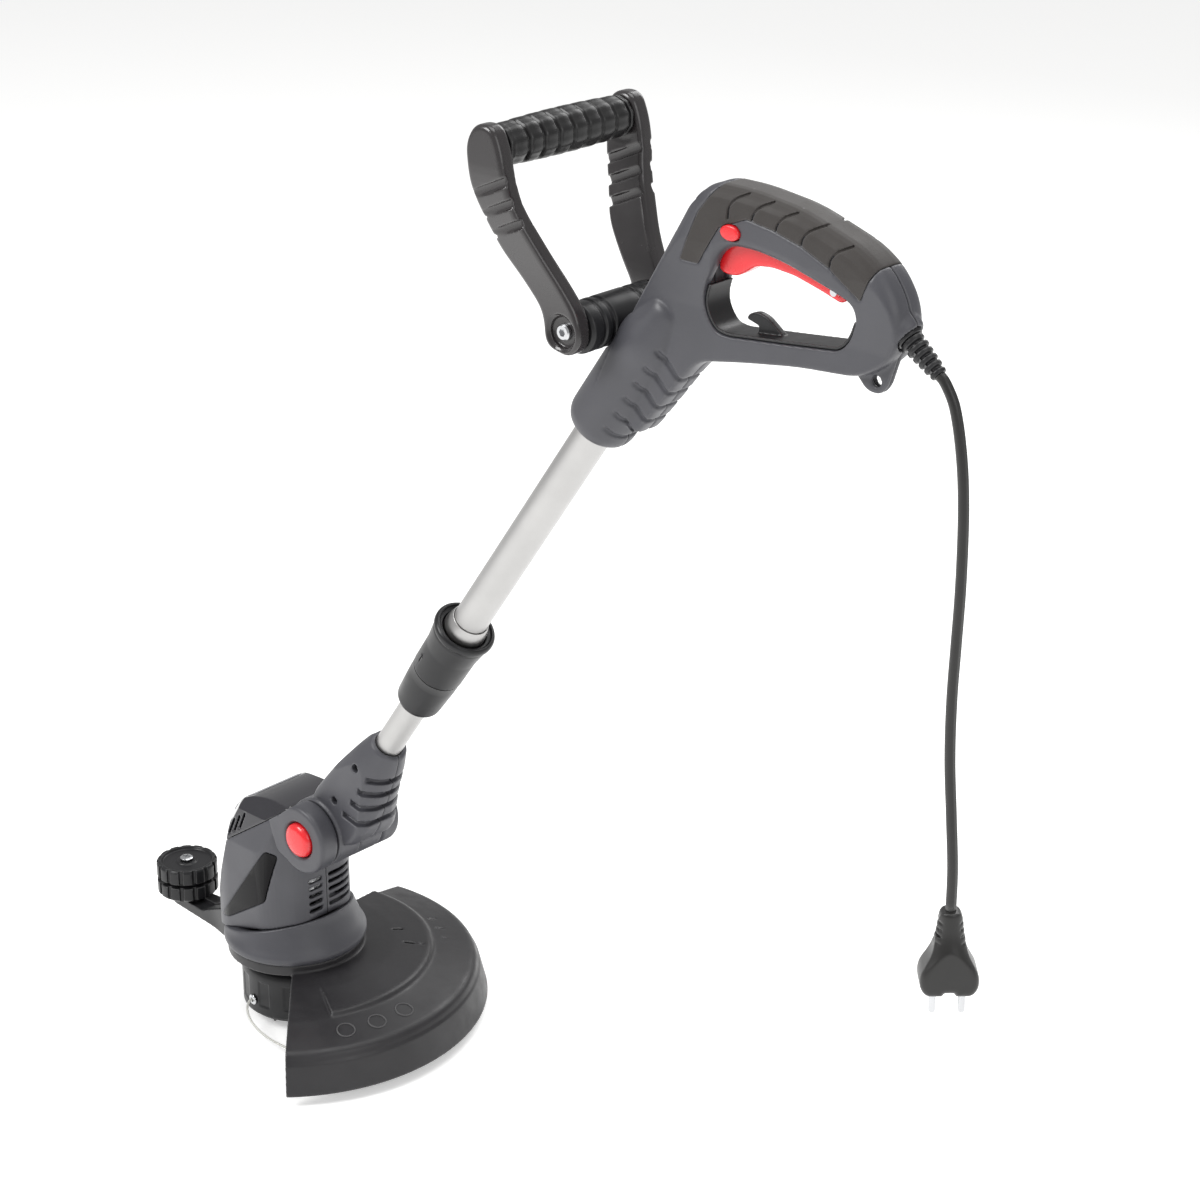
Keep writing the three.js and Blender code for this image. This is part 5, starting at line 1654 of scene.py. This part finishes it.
# ------------------------------------------------------------------ mains lead
@dataclass
class MainsLead:
    """The short lead: its gland and bend relief, the hanging cord and the moulded plug."""

    housing: RearHousing
    radius: float = 3.5
    relief: float = 32.0
    plug_length: float = 58.0
    plug_turn: float = 43.0
    pin_gap: float = 19.0

    def _exit(self, distance: float) -> Point:
        """Give the point a distance along the exit's direction, in X and Z."""
        point = self.housing.exit_place() @ Vector((0, 0, distance))
        return point.x, point.z

    def route(self) -> list[Vector]:
        """Give the points that the cord hangs through."""
        points = [
            self._exit(self.relief + GAP), self._exit(self.relief + 4), (621.8, 673.4), (625.2, 667),
            (628.6, 656), (631.4, 643), (633.8, 628), (635.6, 610), (636.6, 590), (637, 551), (636, 515),
            (635, 477), (636, 437), (639.5, 398), (642.6, 362), (643, 334),
        ]
        return [Vector((x, 0, z)) for x, z in points]

    def cord(self, pieces: Sequence[bpy.types.Object]) -> None:
        """Args:
            pieces: The relief, plug and pins that are on it; not used.
        """
        line = flowing(self.route(), 8)
        section = []
        for i in range(32):
            angle = 2 * math.pi * i / 32
            seam = 0.35 * math.exp(-((math.degrees(angle) % 180 - 90) / 12) ** 2)
            section.append(((self.radius - seam) * math.cos(angle), (self.radius - seam) * math.sin(angle)))
        piece = deliver(Solid.swept(line, section), "mains_cord_sheath", "handle", PVC_SHEATH,
                        ["mains_cord"], 60)

    def fittings(self) -> bpy.types.Object:
        """Build the gland and the ribbed bend relief.

        Returns:
            The bend relief.
        """
        place = self.housing.exit_place()
        gland = [(3.9, -6), (5.3, -6), (5.3, 1.2), (9, 1.2), (9.2, 2.4), (8.4, 4), (3.9, 4)]
        deliver(Solid.turned(rounded(gland, 0.8, 3), 64, place), "cable_gland_moulded", "handle",
                NYLON_BLACK, ["cable_gland"], 50)
        relief = [(0, 4 + GAP), (7.6, 4 + GAP), (7.6, 7.4), (5.8, 8.2), (5.8, 9.4)]
        for i in range(4):
            rib, start = 7.4 - 0.45 * i, 9.8 + 4.8 * i
            relief += [(rib, start), (rib, start + 2.6), (rib - 1.7, start + 3.2), (rib - 1.7, start + 4.2)]
        relief += [(5.4, self.relief - 2.4), (5.2, self.relief - 0.8), (4.6, self.relief), (0, self.relief)]
        sleeve = Solid.turned(rounded(relief, 0.7, 3, closed=False), 64, place)
        for i in range(4):
            start = 12 + 4.8 * i
            for side in (-1, 1):
                reach = 6.8 - 0.45 * i
                sleeve.add(Solid.block((-1.1, 1.1), (side * 3, side * reach), (start, start + 2.6), place))
        return deliver(sleeve, "bend_relief_moulded", "handle", NYLON_BLACK, ["bend_relief"], 50)

    def plug_place(self) -> Matrix:
        """Give the plug's place: Z back along the cord, X across its two pins."""
        line = flowing(self.route(), 8)
        up = (line[-2] - line[-1]).normalized()
        turn = math.radians(self.plug_turn)
        across = Vector((math.cos(turn), math.sin(turn), 0))
        across = (across - up * across.dot(up)).normalized()
        depth = up.cross(across)
        origin = line[-1] - up * (self.plug_length + GAP)
        rows = Matrix((across, depth, up)).transposed().to_4x4()
        return Matrix.Translation(origin) @ rows

    def plug(self) -> list[bpy.types.Object]:
        """Build the contour plug and its two pins.

        Returns:
            The plug body and the pins.
        """
        place = self.plug_place()
        length, half = self.plug_length, 19.0
        outline = [(-half + 4, 0), (-4, 0), (-3.4, 2.4), (3.4, 2.4), (4, 0), (half - 4, 0), (half, 6),
                   (half, 15), (11, 30), (8.4, length - 8), (6.4, length), (-6.4, length),
                   (-8.4, length - 8), (-11, 30), (-half, 15), (-half, 6)]
        body = Solid.prism(rounded(outline, 6), -12.5, 12.5, 4)
        profile = [(0, -1), (24, -1), (24, 12), (15, 26), (9.4, 40), (7.4, length + 1), (0, length + 1)]
        body.keep(Solid.turned(rounded(profile, 10, 6, closed=False), 96))
        for i in range(4):
            height = 36 + 4.6 * i
            for side in (-1, 1):
                reach = side * (6.6 - 0.5 * i)
                body.cut(Solid.block((reach, side * 20), (-20, 20), (height, height + 1.6)))
        for side in (-1, 1):
            for row in range(3):
                x = side * (16.2 - 1.6 * row)
                body.cut(Solid.swept([Vector((x, -14, 9 + 5 * row)), Vector((x, 14, 9 + 5 * row))],
                                     [(u + side * 3.2, v) for u, v in arc((0, 0), 1.0, 0, 315, 7)]))
        body.cast(0.7, 4).moved(place)
        made = [deliver(body, "plug_body_moulded", "handle", PVC_SHEATH, ["plug_body"])]
        for i, side in enumerate((-1, 1), 1):
            profile = [(0, -17), (1.4, -17), (2.4, -15.6), (2.4, -GAP), (0, -GAP)]
            pin = Solid.turned(rounded(profile, 0.8, 3, closed=False), 48,
                               place @ Matrix.Translation((side * self.pin_gap / 2, 0, 0)))
            made.append(deliver(pin, f"plug_pin_{i}_turned", "handle", STEEL,
                                [f"plug_pin_{i}"], 40))
        return made

    def build(self) -> None:
        """Build the whole lead."""
        relief = self.fittings()
        self.cord([relief, *self.plug()])


# ------------------------------------------------------------------ the whole tool
def main() -> None:
    """Build the camera, the lead and every sub-assembly, then the floor and the lights."""
    logging.basicConfig(level=logging.INFO, format="%(name)s %(message)s", force=True)
    studio = Studio()
    studio.camera()
    housing = RearHousing()
    for assembly in (MainsLead(housing), housing, FrontHandle(), Shaft(), Neck(), MotorHead(),
                     GuideWheel(), Guard(), LineHead()):
        LOG.info("building %s", type(assembly).__name__)
        assembly.build()
    studio.floor()
    studio.light()


if __name__ == "__main__":
    main()
